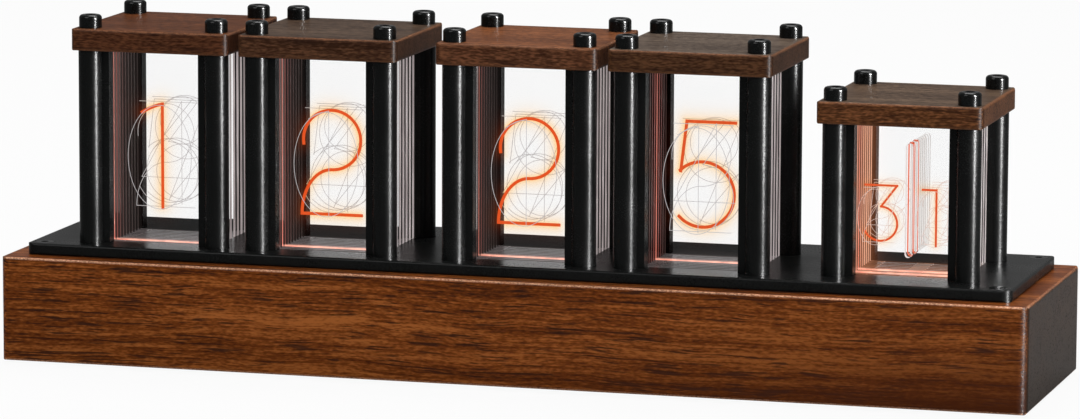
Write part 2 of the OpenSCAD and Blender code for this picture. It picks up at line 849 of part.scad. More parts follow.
// The lit or the unlit digit plates of a module
module module_plates(m, with_light) {
    color(with_light ? lit_plastic : clear_plastic)
        for (i = [0 : digit_count - 1])
            if (is_lit(m, i) == with_light)
                translate([stack_place(m).x, stack_place(m).y + digit_y(i), plate_top])
                    digit_plate(m);
}

module module_slot_block(m) {
    color(black_plastic)
        difference() {
            translate([stack_place(m).x - light_board_length / 2, stack_place(m).y - light_board_depth / 2,
                block_bottom])
                cube([light_board_length, light_board_depth, slot_block_height]);
            tongue_slots(m, block_bottom - cut, base_top + cut);
            at_light_screws(m)
                translate([0, 0, block_bottom - cut])
                    cylinder(d = light_screw_shank + 2 * screw_clearance, h = slot_block_height + 2 * cut);
        }
}

module module_light_board(m) {
    color(board_green)
        difference() {
            translate([stack_place(m).x - light_board_length / 2, stack_place(m).y - light_board_depth / 2,
                light_board_bottom])
                cube([light_board_length, light_board_depth, board_thickness]);
            at_light_screws(m)
                translate([0, 0, light_board_bottom - cut])
                    cylinder(d = light_screw_shank + 2 * screw_clearance, h = board_thickness + 2 * cut);
        }
}

base_block();
top_plate();
top_plate_screws();
bottom_cover();
bottom_cover_screws();
rubber_feet();
main_board();
main_board_spacers();
main_board_screws();
main_board_chips();
board_headers();
coin_cell_holder();
coin_cell();
power_inlet();
tact_switches();
post_screws();
leds();
light_board_screws();
for (i = [0 : len(BUTTONS) - 1]) {
    button(i);
    plunger(i);
}
for (m = MODULES) {
    module_cap(m);
    module_posts(m);
    module_cap_screws(m);
    module_plates(m, false);
    module_plates(m, true);
    module_slot_block(m);
    module_light_board(m);
}
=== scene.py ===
"""Finishes for a desk clock with edge-lit digit plates, and the stage that shows it.

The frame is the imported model. Its solids keep their shapes and get procedural finishes here. Only the digit
plates are made anew, as sheets with a thickness, so that their faces can carry the halo of a numeral and
their edges the light that runs through them. Each plate has its numeral as a fine line on its rear face.
Lengths are in metres. X runs along the base, Y from front to back, Z up.
"""

import math

import bpy
import numpy as np
from bpy.props import FloatProperty, FloatVectorProperty, PointerProperty
from mathutils import Matrix, Vector


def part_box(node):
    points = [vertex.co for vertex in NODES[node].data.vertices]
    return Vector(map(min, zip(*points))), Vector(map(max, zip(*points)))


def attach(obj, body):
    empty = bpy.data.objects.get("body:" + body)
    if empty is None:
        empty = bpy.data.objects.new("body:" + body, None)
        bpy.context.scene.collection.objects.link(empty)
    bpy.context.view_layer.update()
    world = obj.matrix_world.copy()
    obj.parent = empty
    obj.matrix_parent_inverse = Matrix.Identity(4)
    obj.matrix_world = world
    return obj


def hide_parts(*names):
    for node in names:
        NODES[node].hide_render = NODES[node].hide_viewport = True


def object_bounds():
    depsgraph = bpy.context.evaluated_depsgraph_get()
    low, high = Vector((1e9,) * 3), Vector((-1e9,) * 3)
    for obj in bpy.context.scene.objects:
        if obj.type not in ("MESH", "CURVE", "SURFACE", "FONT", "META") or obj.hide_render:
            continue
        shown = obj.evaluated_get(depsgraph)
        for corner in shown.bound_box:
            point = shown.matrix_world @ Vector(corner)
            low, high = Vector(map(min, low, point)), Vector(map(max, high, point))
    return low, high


bl_info = {
    "name": "Edge-lit desk clock finishes",
    "version": (1, 0, 0),
    "blender": (4, 5, 0),
    "location": "3D View > Sidebar > Clock",
    "description": "Dresses the packed desk clock with wood, metal, clear plates and lit numerals",
    "category": "Object",
}

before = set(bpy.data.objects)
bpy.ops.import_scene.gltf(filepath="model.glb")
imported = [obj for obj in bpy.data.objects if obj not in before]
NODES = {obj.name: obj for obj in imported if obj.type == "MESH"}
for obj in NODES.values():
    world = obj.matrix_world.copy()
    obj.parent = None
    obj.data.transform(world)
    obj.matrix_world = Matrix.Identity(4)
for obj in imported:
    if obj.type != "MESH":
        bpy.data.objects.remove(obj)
CAD_BOX = [[float(value) for value in corner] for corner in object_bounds()]

# Body that all new pieces ride on, the digits that each module shows, and those that its plates carry
BODY = "clock"
SHOWN = {"hour_tens": "1", "hour_units": "2", "minute_tens": "2", "minute_units": "5", "date": "31"}
MODULES = tuple(SHOWN)
DIGITS = "0123456789"

# Each cap's share of red, green and blue beside the common cap colours, and its top's, with a painted sheen,
# beside its own
CAP_TINTS_AND_TOP_SHEEN = {
    "hour_tens": ((1.0, 0.88, 0.78), (1.12, 0.98, 0.7)),
    "hour_units": ((1.1, 1.18, 1.17), (0.7, 1.01, 1.37)),
    "minute_tens": ((1.55, 1.5, 1.4), (1.25, 1.09, 0.81)),
    "minute_units": ((0.95, 1.0, 0.9), (1.14, 1.96, 3.3)),
    "date": ((1.8, 1.7, 1.25), (0.58, 0.97, 1.74)),
}

# Numerals are drawn on a grid whose capital height is this many units. The numbers of points are those of
# an arc, a bent stroke and a straight one, and of the arch across a line
NUMERAL_UNITS = 32.0
ARC_POINTS = 49
BOW_POINTS = 17
STRAIGHT_POINTS = 9
ARCH_POINTS = 5


def box(name):
    """Lowest and highest corner of a CAD node, as arrays."""
    low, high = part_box(name)
    return np.array(low, float), np.array(high, float)


PLATE_TOP = float(box("top_plate")[1][2])
PLATE_THICKNESS = float(np.ptp([corner[1] for corner in box("hour_tens_lit_plates")]))
TONGUE_BOTTOM = float(box("hour_tens_lit_plates")[0][2])

# Sizes of the digit plates that their boxes don't give: half a tall plate's tongue, the inner and outer
# side of a date plate's two tongues, half the date slit's width, and its distance from foot and top
TONGUE_HALF = 0.0125
DATE_TONGUE = (0.0025, 0.0125)
SLIT_HALF = 0.001
SLIT_FOOT = 0.0055
SLIT_HEAD = 0.0071

# Grid of the slit: number of lines across it, and the room that its round ends get
SLIT_LINES = 9
SLIT_ROOM = 1.6 * SLIT_HALF

# Smoky line, a painted shade that darkens the look through some stacks' plates beside their left side:
# distances at which it starts, is full, is full for the last time and has ended, and the light that it
# scatters
SMOKY_SHADE_MODULES = ("hour_tens", "hour_units", "minute_tens")
SMOKE_SHADE_MARKS = (0.00038, 0.00046, 0.00098, 0.00108)
SMOKE_SHADE_GLOW = (0.026, 0.0205, 0.0192, 1)

# Height of the glow at a lit plate's foot, height over which its edges grow dimmer, reach of its light among
# the other plates, and reach of the haze beside a plate's left side
FOOT_GLOW = 0.0006
EDGE_FADE = 0.06
LIT_REACH = 0.0045
HAZE_REACH = 0.0018

# Heights beside the metal plate's top between which the glow of a tongue ends
TONGUE_FADE = (-0.0004, 0.0002)

# Reach of a lit plate's light on the metal in front of it and behind it, and half the seam between the two
WIDE_REACH = (0.0045, 0.015)
NARROW_REACH = (0.0008, 0.0008)
REACH_SEAM = 0.0005

# Steps of a plate's grid, for plain plates and for those that carry a halo
PLAIN_STEP = 0.004
HALO_STEP = 0.0005

# Width of the wood's worn edges, which also carry a painted highlight, and the distances from the base's
# right end and from its front between which the end's upper edge begins to be spared from that wear and
# painted highlight
WEAR_HIGHLIGHT_WIDTH = 0.0008
SPARED_END = (0.003, 0.002)
SPARED_FRONT = (0.003, 0.006)

# Depth of the finishes' fine relief, and the turns from which a face counts as square on, a little and fully
RELIEF_DEPTH = 0.0002
SQUARE_ON = (0.8, 0.97)

# Colour of what doesn't glow and of what is bright, and polished acrylic without a mirror sheen
NO_LIGHT = (0, 0, 0, 1)
WHITE = (1, 1, 1, 1)
CLEAR_ACRYLIC = {"Transmission_Weight": 1.0, "IOR": 1.49, "Roughness": 0.0, "Specular_Tint": NO_LIGHT,
                 "Emission_Strength": 1.0}

# Soft lights of the stage, by place, and width and height. All look at the same point
LIGHT_AIM = (0.0, 0.0, 0.05)
LIGHTS = {
    "key_light": ((-0.75, -1.25, 1.15), (0.9, 0.9)),
    "strip_light": ((1.10, -0.47, 0.30), (0.07, 0.9)),
    "gloss_light": ((1.10, -0.47, 0.30), (0.07, 0.9)),
    "top_light": ((0.1, 0.35, 1.4), (1.2, 0.8)),
}

# Half the floor's side, its points along a side and its distance under the feet, and the camera's sensor
FLOOR_REACH = 8.0
FLOOR_POINTS = 5
FLOOR_GAP = 0.0002
SENSOR_WIDTH = 36.0

# Bounces of light: a look through a stack of ten plates crosses twenty faces, and edges carry light on many
MOST_BOUNCES = 48
GLOSS_BOUNCES = 24


class ModulePlaces:
    """Where the digit plates of one module stand, read from the frame, and which of them are lit."""

    def __init__(self, name):
        low, high = box(name + "_plates")
        lit_low, lit_high = box(name + "_lit_plates")
        low = np.minimum(low, lit_low)
        high = np.maximum(high, lit_high)
        self.name = name
        self.shown = SHOWN[name]
        self.lit_digits = sorted(set(self.shown))
        self.two_digits = len(self.shown) == 2
        self.post_middle = float(np.mean([corner[0] for corner in box(name + "_posts")]))
        self.plate_middle = float(low[0] + high[0]) / 2
        self.width = float(high[0] - low[0])
        self.top = float(high[2])
        first = float(low[1]) + PLATE_THICKNESS / 2
        last = float(high[1]) - PLATE_THICKNESS / 2
        self.plate_y = np.linspace(first, last, len(DIGITS))


PLACES = {name: ModulePlaces(name) for name in MODULES}


# Properties that a user would change

COLOUR = {"subtype": "COLOR", "size": 4, "min": 0, "max": 1}


class ClockNumeralSizes(bpy.types.PropertyGroup):
    """Sizes of the engraved and lit numerals."""

    tall_height: FloatProperty(
        name="Tall numeral height", description="Height of the hour and minute numerals",
        default=0.0322, min=0.02, max=0.045, unit="LENGTH", precision=4)
    tall_foot: FloatProperty(
        name="Tall numeral foot", description="Height of those numerals' feet above the metal plate",
        default=0.0103, min=0.004, max=0.02, unit="LENGTH", precision=4)
    date_height: FloatProperty(
        name="Date numeral height", description="Height of the two date numerals",
        default=0.0168, min=0.01, max=0.025, unit="LENGTH", precision=4)
    date_foot: FloatProperty(
        name="Date numeral foot", description="Height of the date numerals' feet above the metal plate",
        default=0.0088, min=0.004, max=0.02, unit="LENGTH", precision=4)
    date_offset: FloatProperty(
        name="Date numeral offset", description="Distance of each date numeral from the posts' middle",
        default=0.009, min=0.006, max=0.012, unit="LENGTH", precision=4)
    line_width: FloatProperty(
        name="Line width", description="Width of the engraved line of an unlit numeral",
        default=0.00018, min=0.0001, max=0.001, unit="LENGTH", precision=5)
    lit_width: FloatProperty(
        name="Lit line width", description="Width of the glowing line of a lit numeral",
        default=0.00098, min=0.0004, max=0.002, unit="LENGTH", precision=5)
    date_share: FloatProperty(
        name="Date line share", description="Width and light of the date's lines as a share of the others'",
        default=0.66, min=0.3, max=1.0)
    line_depth: FloatProperty(
        name="Line depth", description="Height of the line's arch over the plate's rear face",
        default=0.00008, min=0.00002, max=0.0002, unit="LENGTH", precision=5)
    halo_radius: FloatProperty(
        name="Halo radius", description="Distance at which the halo beside a lit line has faded to a third",
        default=0.0018, min=0.0005, max=0.004, unit="LENGTH", precision=4)


class ClockColours(bpy.types.PropertyGroup):
    """Colours of the finishes, as linear values."""

    walnut_light: FloatVectorProperty(
        name="Walnut, light", description="Light bands of the oiled walnut base",
        default=(0.360, 0.112, 0.0230, 1), **COLOUR)
    walnut_middle: FloatVectorProperty(
        name="Walnut, middle", description="Main tone of the walnut base",
        default=(0.150, 0.0365, 0.0050, 1), **COLOUR)
    # The dark tone is also the one that the base's painted shade falls to
    walnut_dark: FloatVectorProperty(
        name="Walnut, dark", description="Dark bands of the walnut base",
        default=(0.054, 0.0112, 0.0015, 1), **COLOUR)
    walnut_pore: FloatVectorProperty(
        name="Walnut, pores", description="Open pores of the walnut",
        default=(0.016, 0.005, 0.002, 1), **COLOUR)
    walnut_end: FloatVectorProperty(
        name="Walnut, end grain", description="Sawn ends of the base",
        default=(0.0180, 0.0140, 0.0080, 1), **COLOUR)
    # Rubbed stain on the base's edges, together with a painted highlight along them
    walnut_worn_highlight: FloatVectorProperty(
        name="Walnut, worn edges", description="Edges of the base where the stain is rubbed",
        default=(0.80, 0.42, 0.25, 1), **COLOUR)
    cap_light: FloatVectorProperty(
        name="Caps, light", description="Light flecks of the stained walnut caps",
        default=(0.095, 0.038, 0.018, 1), **COLOUR)
    cap_middle: FloatVectorProperty(
        name="Caps, middle", description="Main tone of the caps",
        default=(0.050, 0.0195, 0.0095, 1), **COLOUR)
    cap_dark: FloatVectorProperty(
        name="Caps, dark", description="Dark bands of the caps",
        default=(0.027, 0.0095, 0.0045, 1), **COLOUR)
    # Rubbed stain on the caps' edges, together with a painted highlight along them
    cap_worn_highlight: FloatVectorProperty(
        name="Caps, worn edges", description="Edges of the caps where the stain is rubbed",
        default=(0.17, 0.075, 0.038, 1), **COLOUR)
    satin_black: FloatVectorProperty(
        name="Satin black", description="Blasted and blackened metal",
        default=(0.0030, 0.0034, 0.0033, 1), **COLOUR)
    lit_line: FloatVectorProperty(
        name="Lit line", description="Glow of a lit numeral",
        default=(0.72, 0.110, 0.038, 1), **COLOUR)
    halo: FloatVectorProperty(
        name="Halo", description="Tint of the lit plate beside its numeral",
        default=(1.0, 0.66, 0.22, 1), **COLOUR)
    lit_edge: FloatVectorProperty(
        name="Lit edge", description="Glow of a lit plate's cut edges",
        default=(0.72, 0.20, 0.145, 1), **COLOUR)
    lit_foot: FloatVectorProperty(
        name="Lit foot", description="Glow of a lit plate's foot, right above its diodes",
        default=(0.92, 0.40, 0.29, 1), **COLOUR)
    metal_glow: FloatVectorProperty(
        name="Metal glow", description="Light that a tall stack spills on the metal plate under it",
        default=(0.12, 0.100, 0.097, 1), **COLOUR)
    date_glow: FloatVectorProperty(
        name="Date glow", description="Light that the date's stack spills on the metal plate under it",
        default=(0.36, 0.13, 0.058, 1), **COLOUR)


class ClockStageSettings(bpy.types.PropertyGroup):
    """Camera and light of the stage."""

    camera_place: FloatVectorProperty(
        name="Camera", description="Place of the camera", subtype="TRANSLATION", unit="LENGTH", size=3,
        precision=4, default=(0.48110, -1.70498, 0.31553))
    camera_yaw: FloatProperty(
        name="Yaw", description="Turn of the camera to the object's right",
        subtype="ANGLE", default=math.radians(15.746))
    camera_pitch: FloatProperty(
        name="Pitch", description="Angle by which the camera looks down",
        subtype="ANGLE", default=math.radians(8.560))
    camera_roll: FloatProperty(
        name="Roll", description="Tilt of the camera about its view",
        subtype="ANGLE", default=math.radians(0.253))
    lens: FloatProperty(
        name="Lens", description="Focal length on a 36 mm sensor, in millimetres", default=195.51, min=20)
    key_power: FloatProperty(
        name="Key light", description="Power of the large soft light at the upper left", unit="POWER",
        default=12.0, min=0)
    strip_power: FloatProperty(
        name="Strip light", description="Power of the narrow upright light at the right", unit="POWER",
        default=6.5, min=0)
    gloss_power: FloatProperty(
        name="Gloss light", description="Power of the upright light at the right that only gloss shows",
        unit="POWER", default=330.0, min=0)
    top_power: FloatProperty(
        name="Top light", description="Power of the soft light overhead", unit="POWER",
        default=32.0, min=0)
    world_light: FloatProperty(
        name="Room light", description="Strength of the even light of the room", default=0.32, min=0)
    world_gloss: FloatProperty(
        name="Room in gloss", description="Strength of the room where polish and gloss mirror it",
        default=0.22, min=0)


# Mesh tools

def grid_quads(rows, columns, wrap_rows=False, wrap_columns=False):
    """Corner numbers of the quads of a grid of points, row by row, as whole arrays.

    A quad runs from a point to the next column, the next row and back, so that its normal is the
    cross product of the column's direction and the row's.
    """
    row = np.arange(rows if wrap_rows else rows - 1)
    column = np.arange(columns if wrap_columns else columns - 1)
    row, column = [part.ravel() for part in np.meshgrid(row, column, indexing="ij")]
    next_row = (row + 1) % rows
    next_column = (column + 1) % columns
    corners = [row * columns + column, row * columns + next_column,
               next_row * columns + next_column, next_row * columns + column]
    return np.stack(corners, axis=1)


def unit(vectors):
    """Vectors scaled to length one."""
    return vectors / np.linalg.norm(vectors, axis=-1, keepdims=True)


def add_piece(name, points, faces, materials, smooth=False):
    """Makes a mesh object at the origin that rides on the clock's body."""
    mesh = bpy.data.meshes.new(name)
    mesh.from_pydata(points.tolist(), [], faces)
    mesh.polygons.foreach_set("use_smooth", np.full(len(faces), smooth))
    mesh.update()
    for material in materials:
        mesh.materials.append(material)
    piece = bpy.data.objects.new(name, mesh)
    bpy.context.scene.collection.objects.link(piece)
    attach(piece, BODY)
    return piece


def finish_node(name, material):
    """Gives a CAD node its finish, and leaves its mesh as it is."""
    node = NODES[name]
    if not node.material_slots:
        node.data.materials.append(material)
    for place in node.material_slots:
        place.material = material


# Shader tools

def add_node(tree, kind, inputs=None, **settings):
    """Adds a shader node, sets its options, and fills or links its inputs by name or number."""
    made = tree.nodes.new(kind)
    for option, value in settings.items():
        setattr(made, option, value)
    for key, value in (inputs or {}).items():
        if isinstance(value, bpy.types.NodeSocket):
            tree.links.new(value, made.inputs[key])
        else:
            made.inputs[key].default_value = value
    return made


def math_node(tree, operation, first, second=0.0):
    """Result of a sum on one or two values."""
    return add_node(tree, "ShaderNodeMath", {0: first, 1: second}, operation=operation).outputs[0]


def vector_node(tree, operation, first, second=(0, 0, 0)):
    """Result of a sum on one or two vectors."""
    return add_node(tree, "ShaderNodeVectorMath", {0: first, 1: second}, operation=operation).outputs[0]


def mix_colour(tree, share, first, second):
    """Colour between two colours."""
    made = add_node(tree, "ShaderNodeMix", {0: share, 6: first, 7: second}, data_type="RGBA")
    return made.outputs[2]


def map_range(tree, value, low, high, to_low=0.0, to_high=1.0):
    """Value carried from one range to another and held inside it."""
    inputs = {"Value": value, "From Min": low, "From Max": high, "To Min": to_low, "To Max": to_high}
    return add_node(tree, "ShaderNodeMapRange", inputs, clamp=True).outputs["Result"]


def stretched_noise(tree, vector, per_metre, detail, roughness=0.55):
    """Noise with its own number of features a metre along each axis."""
    scaled = vector_node(tree, "MULTIPLY", vector, per_metre)
    inputs = {"Vector": scaled, "Scale": 1.0, "Detail": detail, "Roughness": roughness}
    return add_node(tree, "ShaderNodeTexNoise", inputs).outputs["Fac"]


def new_group(name, inputs, outputs):
    """Shader node group with named sockets. Returns the group, its inputs and its output node."""
    group = bpy.data.node_groups.new(name, "ShaderNodeTree")
    for label, kind in inputs:
        group.interface.new_socket(label, in_out="INPUT", socket_type=kind)
    for label, kind in outputs:
        group.interface.new_socket(label, in_out="OUTPUT", socket_type=kind)
    source = group.nodes.new("NodeGroupInput").outputs
    result = group.nodes.new("NodeGroupOutput")
    return group, source, result


def use_group(tree, group, inputs):
    """Places a group in a material with its own values, and returns its outputs."""
    return add_node(tree, "ShaderNodeGroup", inputs, node_tree=group).outputs


def new_material(name, **constants):
    """Material with a Principled BSDF whose constant sockets are set by name."""
    material = bpy.data.materials.new(name)
    material.use_nodes = True
    tree = material.node_tree
    shader = tree.nodes["Principled BSDF"]
    for label, value in constants.items():
        shader.inputs[label.replace("_", " ")].default_value = value
    return material, tree, shader


def feed(tree, node, **values):
    """Links values to a node's inputs by name."""
    for label, value in values.items():
        tree.links.new(value, node.inputs[label.replace("_", " ")])


def dimmed(colour, share):
    """Colour at a share of its brightness."""
    return tuple(share * value for value in colour[:3]) + (1,)


def add_bump(tree, shader, height, strength):
    """Relief on a shader from a height between nought and one."""
    inputs = {"Height": height, "Strength": strength, "Distance": RELIEF_DEPTH}
    feed(tree, shader, Normal=add_node(tree, "ShaderNodeBump", inputs).outputs["Normal"])


def object_place(tree, shift=(0, 0, 0)):
    """Object coordinates, moved by a shift."""
    place = add_node(tree, "ShaderNodeTexCoord").outputs["Object"]
    return add_node(tree, "ShaderNodeMapping", {"Vector": place, "Location": shift}).outputs["Vector"]


def split_place(tree):
    """Object coordinates as three values, by the names of their axes."""
    return add_node(tree, "ShaderNodeSeparateXYZ", {0: object_place(tree)}).outputs


def face_turn(tree, axis):
    """How squarely a face looks along one axis, from nought to one."""
    normal = add_node(tree, "ShaderNodeTexCoord").outputs["Normal"]
    split = add_node(tree, "ShaderNodeSeparateXYZ", {0: normal})
    return math_node(tree, "ABSOLUTE", split.outputs[axis])


# Shared effects

def shared_group(name, build):
    """The group of that name, built at its first use."""
    return bpy.data.node_groups.get(name) or build(name)


def build_walnut_figure(name):
    """Wood with its fibres along X: slow bands, streaks, fine fibres, flecks and dark pores, a little wavy.

    The tone is a weighted sum of three noises that are drawn out along the fibres, mixed with a fourth by
    the share of the flecks. Pores open where a fifth noise peaks, and more of them in the dark streaks.
    """
    group, source, result = new_group(
        name,
        [("Vector", "NodeSocketVector"), ("Light", "NodeSocketColor"), ("Middle", "NodeSocketColor"),
         ("Dark", "NodeSocketColor"), ("Pore", "NodeSocketColor"), ("Pores", "NodeSocketFloat"),
         ("Flecks", "NodeSocketFloat")],
        [("Color", "NodeSocketColor"), ("Roughness", "NodeSocketFloat"), ("Height", "NodeSocketFloat")])
    wave = add_node(group, "ShaderNodeTexNoise",
                    {"Vector": source["Vector"], "Scale": 14.0, "Detail": 2.0}).outputs["Color"]
    bend = vector_node(group, "MULTIPLY", vector_node(group, "SUBTRACT", wave, (0.5, 0.5, 0.5)),
                       (0.0, 0.006, 0.006))
    wavy = vector_node(group, "ADD", source["Vector"], bend)
    band = stretched_noise(group, wavy, (3.0, 80.0, 80.0), 3.0)
    streak = stretched_noise(group, wavy, (9.0, 420.0, 420.0), 2.0)
    fibre = stretched_noise(group, wavy, (40.0, 1500.0, 1500.0), 2.0)
    fleck = stretched_noise(group, wavy, (500.0, 1900.0, 1900.0), 1.0)
    pore = stretched_noise(group, wavy, (75.0, 1700.0, 1700.0), 1.0)
    tone = math_node(group, "MULTIPLY", band, 0.40)
    for noise, weight in ((streak, 0.26), (fibre, 0.34)):
        tone = math_node(group, "ADD", tone, math_node(group, "MULTIPLY", noise, weight))
    tone = add_node(group, "ShaderNodeMix", {0: source["Flecks"], 2: tone, 3: fleck}).outputs[0]
    colour = mix_colour(group, map_range(group, tone, 0.41, 0.50), source["Dark"], source["Middle"])
    colour = mix_colour(group, map_range(group, tone, 0.50, 0.60), colour, source["Light"])
    gathered = math_node(group, "ADD", pore, map_range(group, streak, 0.35, 0.65, 0.06, -0.06))
    open_pore = math_node(group, "MULTIPLY", map_range(group, gathered, 0.58, 0.67), source["Pores"])
    feed(group, result, Color=mix_colour(group, open_pore, colour, source["Pore"]),
         Roughness=map_range(group, open_pore, 0.0, 1.0, 0.36, 0.52),
         Height=math_node(group, "SUBTRACT", fibre, open_pore))
    return group


def build_worn_highlight_edges(name):
    """Mask of a box's worn edges, speckled, for rubbed stain together with a painted highlight.

    On a face the smallest of the three distances to the box's sides is nought. Near an edge the second
    smallest is small too, and the mask rises from nought to one as that falls from the width to three
    tenths of it.
    """
    group, source, result = new_group(
        name,
        [("Vector", "NodeSocketVector"), ("Middle", "NodeSocketVector"), ("Half", "NodeSocketVector"),
         ("Width", "NodeSocketFloat")],
        [("Mask", "NodeSocketFloat")])
    reach = vector_node(group, "ABSOLUTE", vector_node(group, "SUBTRACT", source["Vector"], source["Middle"]))
    inside = vector_node(group, "SUBTRACT", source["Half"], reach)
    x, y, z = add_node(group, "ShaderNodeSeparateXYZ", {0: inside}).outputs
    wider = math_node(group, "MINIMUM", math_node(group, "MAXIMUM", x, y), z)
    second = math_node(group, "MAXIMUM", math_node(group, "MINIMUM", x, y), wider)
    whole = math_node(group, "MULTIPLY", source["Width"], 0.3)
    near = map_range(group, second, whole, source["Width"], 1.0, 0.0)
    speckle = stretched_noise(group, source["Vector"], (1500.0, 2500.0, 2500.0), 2.0)
    mask = math_node(group, "MULTIPLY", near, map_range(group, speckle, 0.40, 0.62, 0.3, 1.0))
    feed(group, result, Mask=mask)
    return group


def build_foot_light(name):
    """Light on the metal round a lit plate's foot: a wide and a narrow share.

    Each is e to the power of minus the square of the distance from the plate, as a share of a reach in
    front of it and another behind it. Both end at the plate's two ends. The wide one grows from left to
    right and is streaky.
    """
    group, source, result = new_group(
        name,
        [("Vector", "NodeSocketVector"), ("Middle", "NodeSocketVector"), ("Half Width", "NodeSocketFloat")],
        [("Wide", "NodeSocketFloat"), ("Narrow", "NodeSocketFloat")])
    offset = vector_node(group, "SUBTRACT", source["Vector"], source["Middle"])
    split = add_node(group, "ShaderNodeSeparateXYZ", {0: offset}).outputs
    across = math_node(group, "DIVIDE", split["X"], source["Half Width"])
    inside = map_range(group, math_node(group, "ABSOLUTE", across), 0.8, 1.05, 1.0, 0.0)
    streak = stretched_noise(group, source["Vector"], (30.0, 800.0, 30.0), 2.0)
    uneven = math_node(group, "MULTIPLY", map_range(group, across, -1.0, 1.0, 0.45, 1.0),
                       map_range(group, streak, 0.36, 0.64, 0.45, 1.0))
    for label, (front, rear), share in (("Wide", WIDE_REACH, uneven), ("Narrow", NARROW_REACH, 0.8)):
        reach = map_range(group, split["Y"], -REACH_SEAM, REACH_SEAM, front, rear)
        part = math_node(group, "DIVIDE", split["Y"], reach)
        power = math_node(group, "MULTIPLY", math_node(group, "MULTIPLY", part, part), -1.0)
        light = math_node(group, "MULTIPLY", math_node(group, "EXPONENT", power), inside)
        group.links.new(math_node(group, "MULTIPLY", light, share), result.inputs[label])
    return group


def build_blasted_surface(name):
    """Fine random grains of a blasted, moulded or cast surface, with a slow cloudiness over them."""
    group, source, result = new_group(
        name,
        [("Vector", "NodeSocketVector"), ("Grains", "NodeSocketFloat"), ("Base", "NodeSocketColor"),
         ("Bright", "NodeSocketColor"), ("Smooth", "NodeSocketFloat"), ("Rough", "NodeSocketFloat")],
        [("Color", "NodeSocketColor"), ("Roughness", "NodeSocketFloat"), ("Height", "NodeSocketFloat")])
    grain = add_node(group, "ShaderNodeTexNoise",
                     {"Vector": source["Vector"], "Scale": source["Grains"], "Detail": 2.0}).outputs["Fac"]
    cloud = add_node(group, "ShaderNodeTexNoise",
                     {"Vector": source["Vector"], "Scale": 60.0, "Detail": 3.0}).outputs["Fac"]
    speck = map_range(group, grain, 0.52, 0.74)
    mean = math_node(group, "MULTIPLY", math_node(group, "ADD", grain, cloud), 0.5)
    feed(group, result, Color=mix_colour(group, speck, source["Base"], source["Bright"]),
         Roughness=map_range(group, mean, 0.35, 0.65, source["Smooth"], source["Rough"]), Height=grain)
    return group


# Materials

def paint_base_shade(tree, colour, dark, end, shift, low, high):
    """Wood with a painted shade towards its foot and its right end, and sawn ends of a colour of their own.
    """
    place = split_place(tree)
    # Painted shade: the colour falls towards the dark tone down the block's lower part, more towards its
    # right end
    foot = map_range(tree, place["Z"], low[2], 0.3 * low[2] + 0.7 * high[2], 1.0, 0.4)
    right = map_range(tree, place["X"], (low[0] + high[0]) / 2, high[0], 0.3, 1.0)
    colour = mix_colour(tree, math_node(tree, "MULTIPLY", foot, right), colour, dark)
    rings = stretched_noise(tree, object_place(tree, shift), (20.0, 160.0, 700.0), 3.0)
    grain = mix_colour(tree, map_range(tree, rings, 0.38, 0.60), dimmed(end, 0.7), tuple(end))
    sawn = map_range(tree, face_turn(tree, 0), *SQUARE_ON, 0.0, 0.85)
    return mix_colour(tree, sawn, colour, grain)


def spare_right_end(tree, wear_and_highlight, low, high):
    """Wear and painted highlight of a block's edges, with less of them along the upper edge of the right end.
    """
    place = split_place(tree)
    at_end = map_range(tree, place["X"], *[high[0] - distance for distance in SPARED_END])
    behind = map_range(tree, place["Y"], *[low[1] + distance for distance in SPARED_FRONT])
    spared = map_range(tree, math_node(tree, "MULTIPLY", at_end, behind), 0.0, 1.0, 1.0, 0.3)
    return math_node(tree, "MULTIPLY", wear_and_highlight, spared)


def walnut_material(name, node, tones, pore, pores, flecks, worn_highlight, shift, end=None, top=(1, 1, 1)):
    """Oiled walnut with worn edges that also carry a painted highlight.

    Where an end colour is given, the sawn ends of the piece take it and are less worn and less highlighted,
    the wood is better polished, and a painted shade darkens it towards its foot and its right end. The faces
    that look up or down have a share of red, green and blue of their own, which carries a painted sheen
    beside their own tone.
    """
    sheen, polish = (0.03, 0.0) if end is None else (0.06, 0.07)
    material, tree, shader = new_material(name, Specular_IOR_Level=sheen)
    light, middle, dark = tones
    figure = use_group(tree, shared_group("walnut_figure", build_walnut_figure),
                       {"Vector": object_place(tree, shift), "Light": light, "Middle": middle,
                        "Dark": dark, "Pore": pore, "Pores": pores, "Flecks": flecks})
    colour = figure["Color"]
    low, high = box(node)
    # Where an end colour is given: sawn ends, and a painted shade towards the base's foot and right end
    if end is not None:
        colour = paint_base_shade(tree, colour, dark, end, shift, low, high)
    # Painted sheen: faces that look up or down take their own share of colour, which partly stands for their
    # sheen
    level = map_range(tree, face_turn(tree, 2), *SQUARE_ON)
    colour = mix_colour(tree, level, colour, vector_node(tree, "MULTIPLY", colour, top))
    # Worn edges, which also carry a painted highlight
    edges = use_group(tree, shared_group("worn_highlight_edges", build_worn_highlight_edges),
                      {"Vector": object_place(tree), "Middle": (low + high) / 2, "Half": (high - low) / 2,
                       "Width": WEAR_HIGHLIGHT_WIDTH})
    wear_and_highlight = edges["Mask"]
    if end is not None:
        wear_and_highlight = spare_right_end(tree, wear_and_highlight, low, high)
    feed(tree, shader, Base_Color=mix_colour(tree, wear_and_highlight, colour, worn_highlight),
         Roughness=math_node(tree, "SUBTRACT", figure["Roughness"], polish))
    add_bump(tree, shader, figure["Height"], 0.2)
    return material


def blasted_material(name, base, bright, grains, smooth, rough, relief, **constants):
    """Blasted metal or moulded plastic: a fine grain in colour, roughness and relief."""
    material, tree, shader = new_material(name, **constants)
    surface = use_group(tree, shared_group("blasted_surface", build_blasted_surface),
                        {"Vector": object_place(tree), "Grains": grains, "Base": base, "Bright": bright,
                         "Smooth": smooth, "Rough": rough})
    feed(tree, shader, Base_Color=surface["Color"], Roughness=surface["Roughness"])
    add_bump(tree, shader, surface["Height"], relief)
    return material


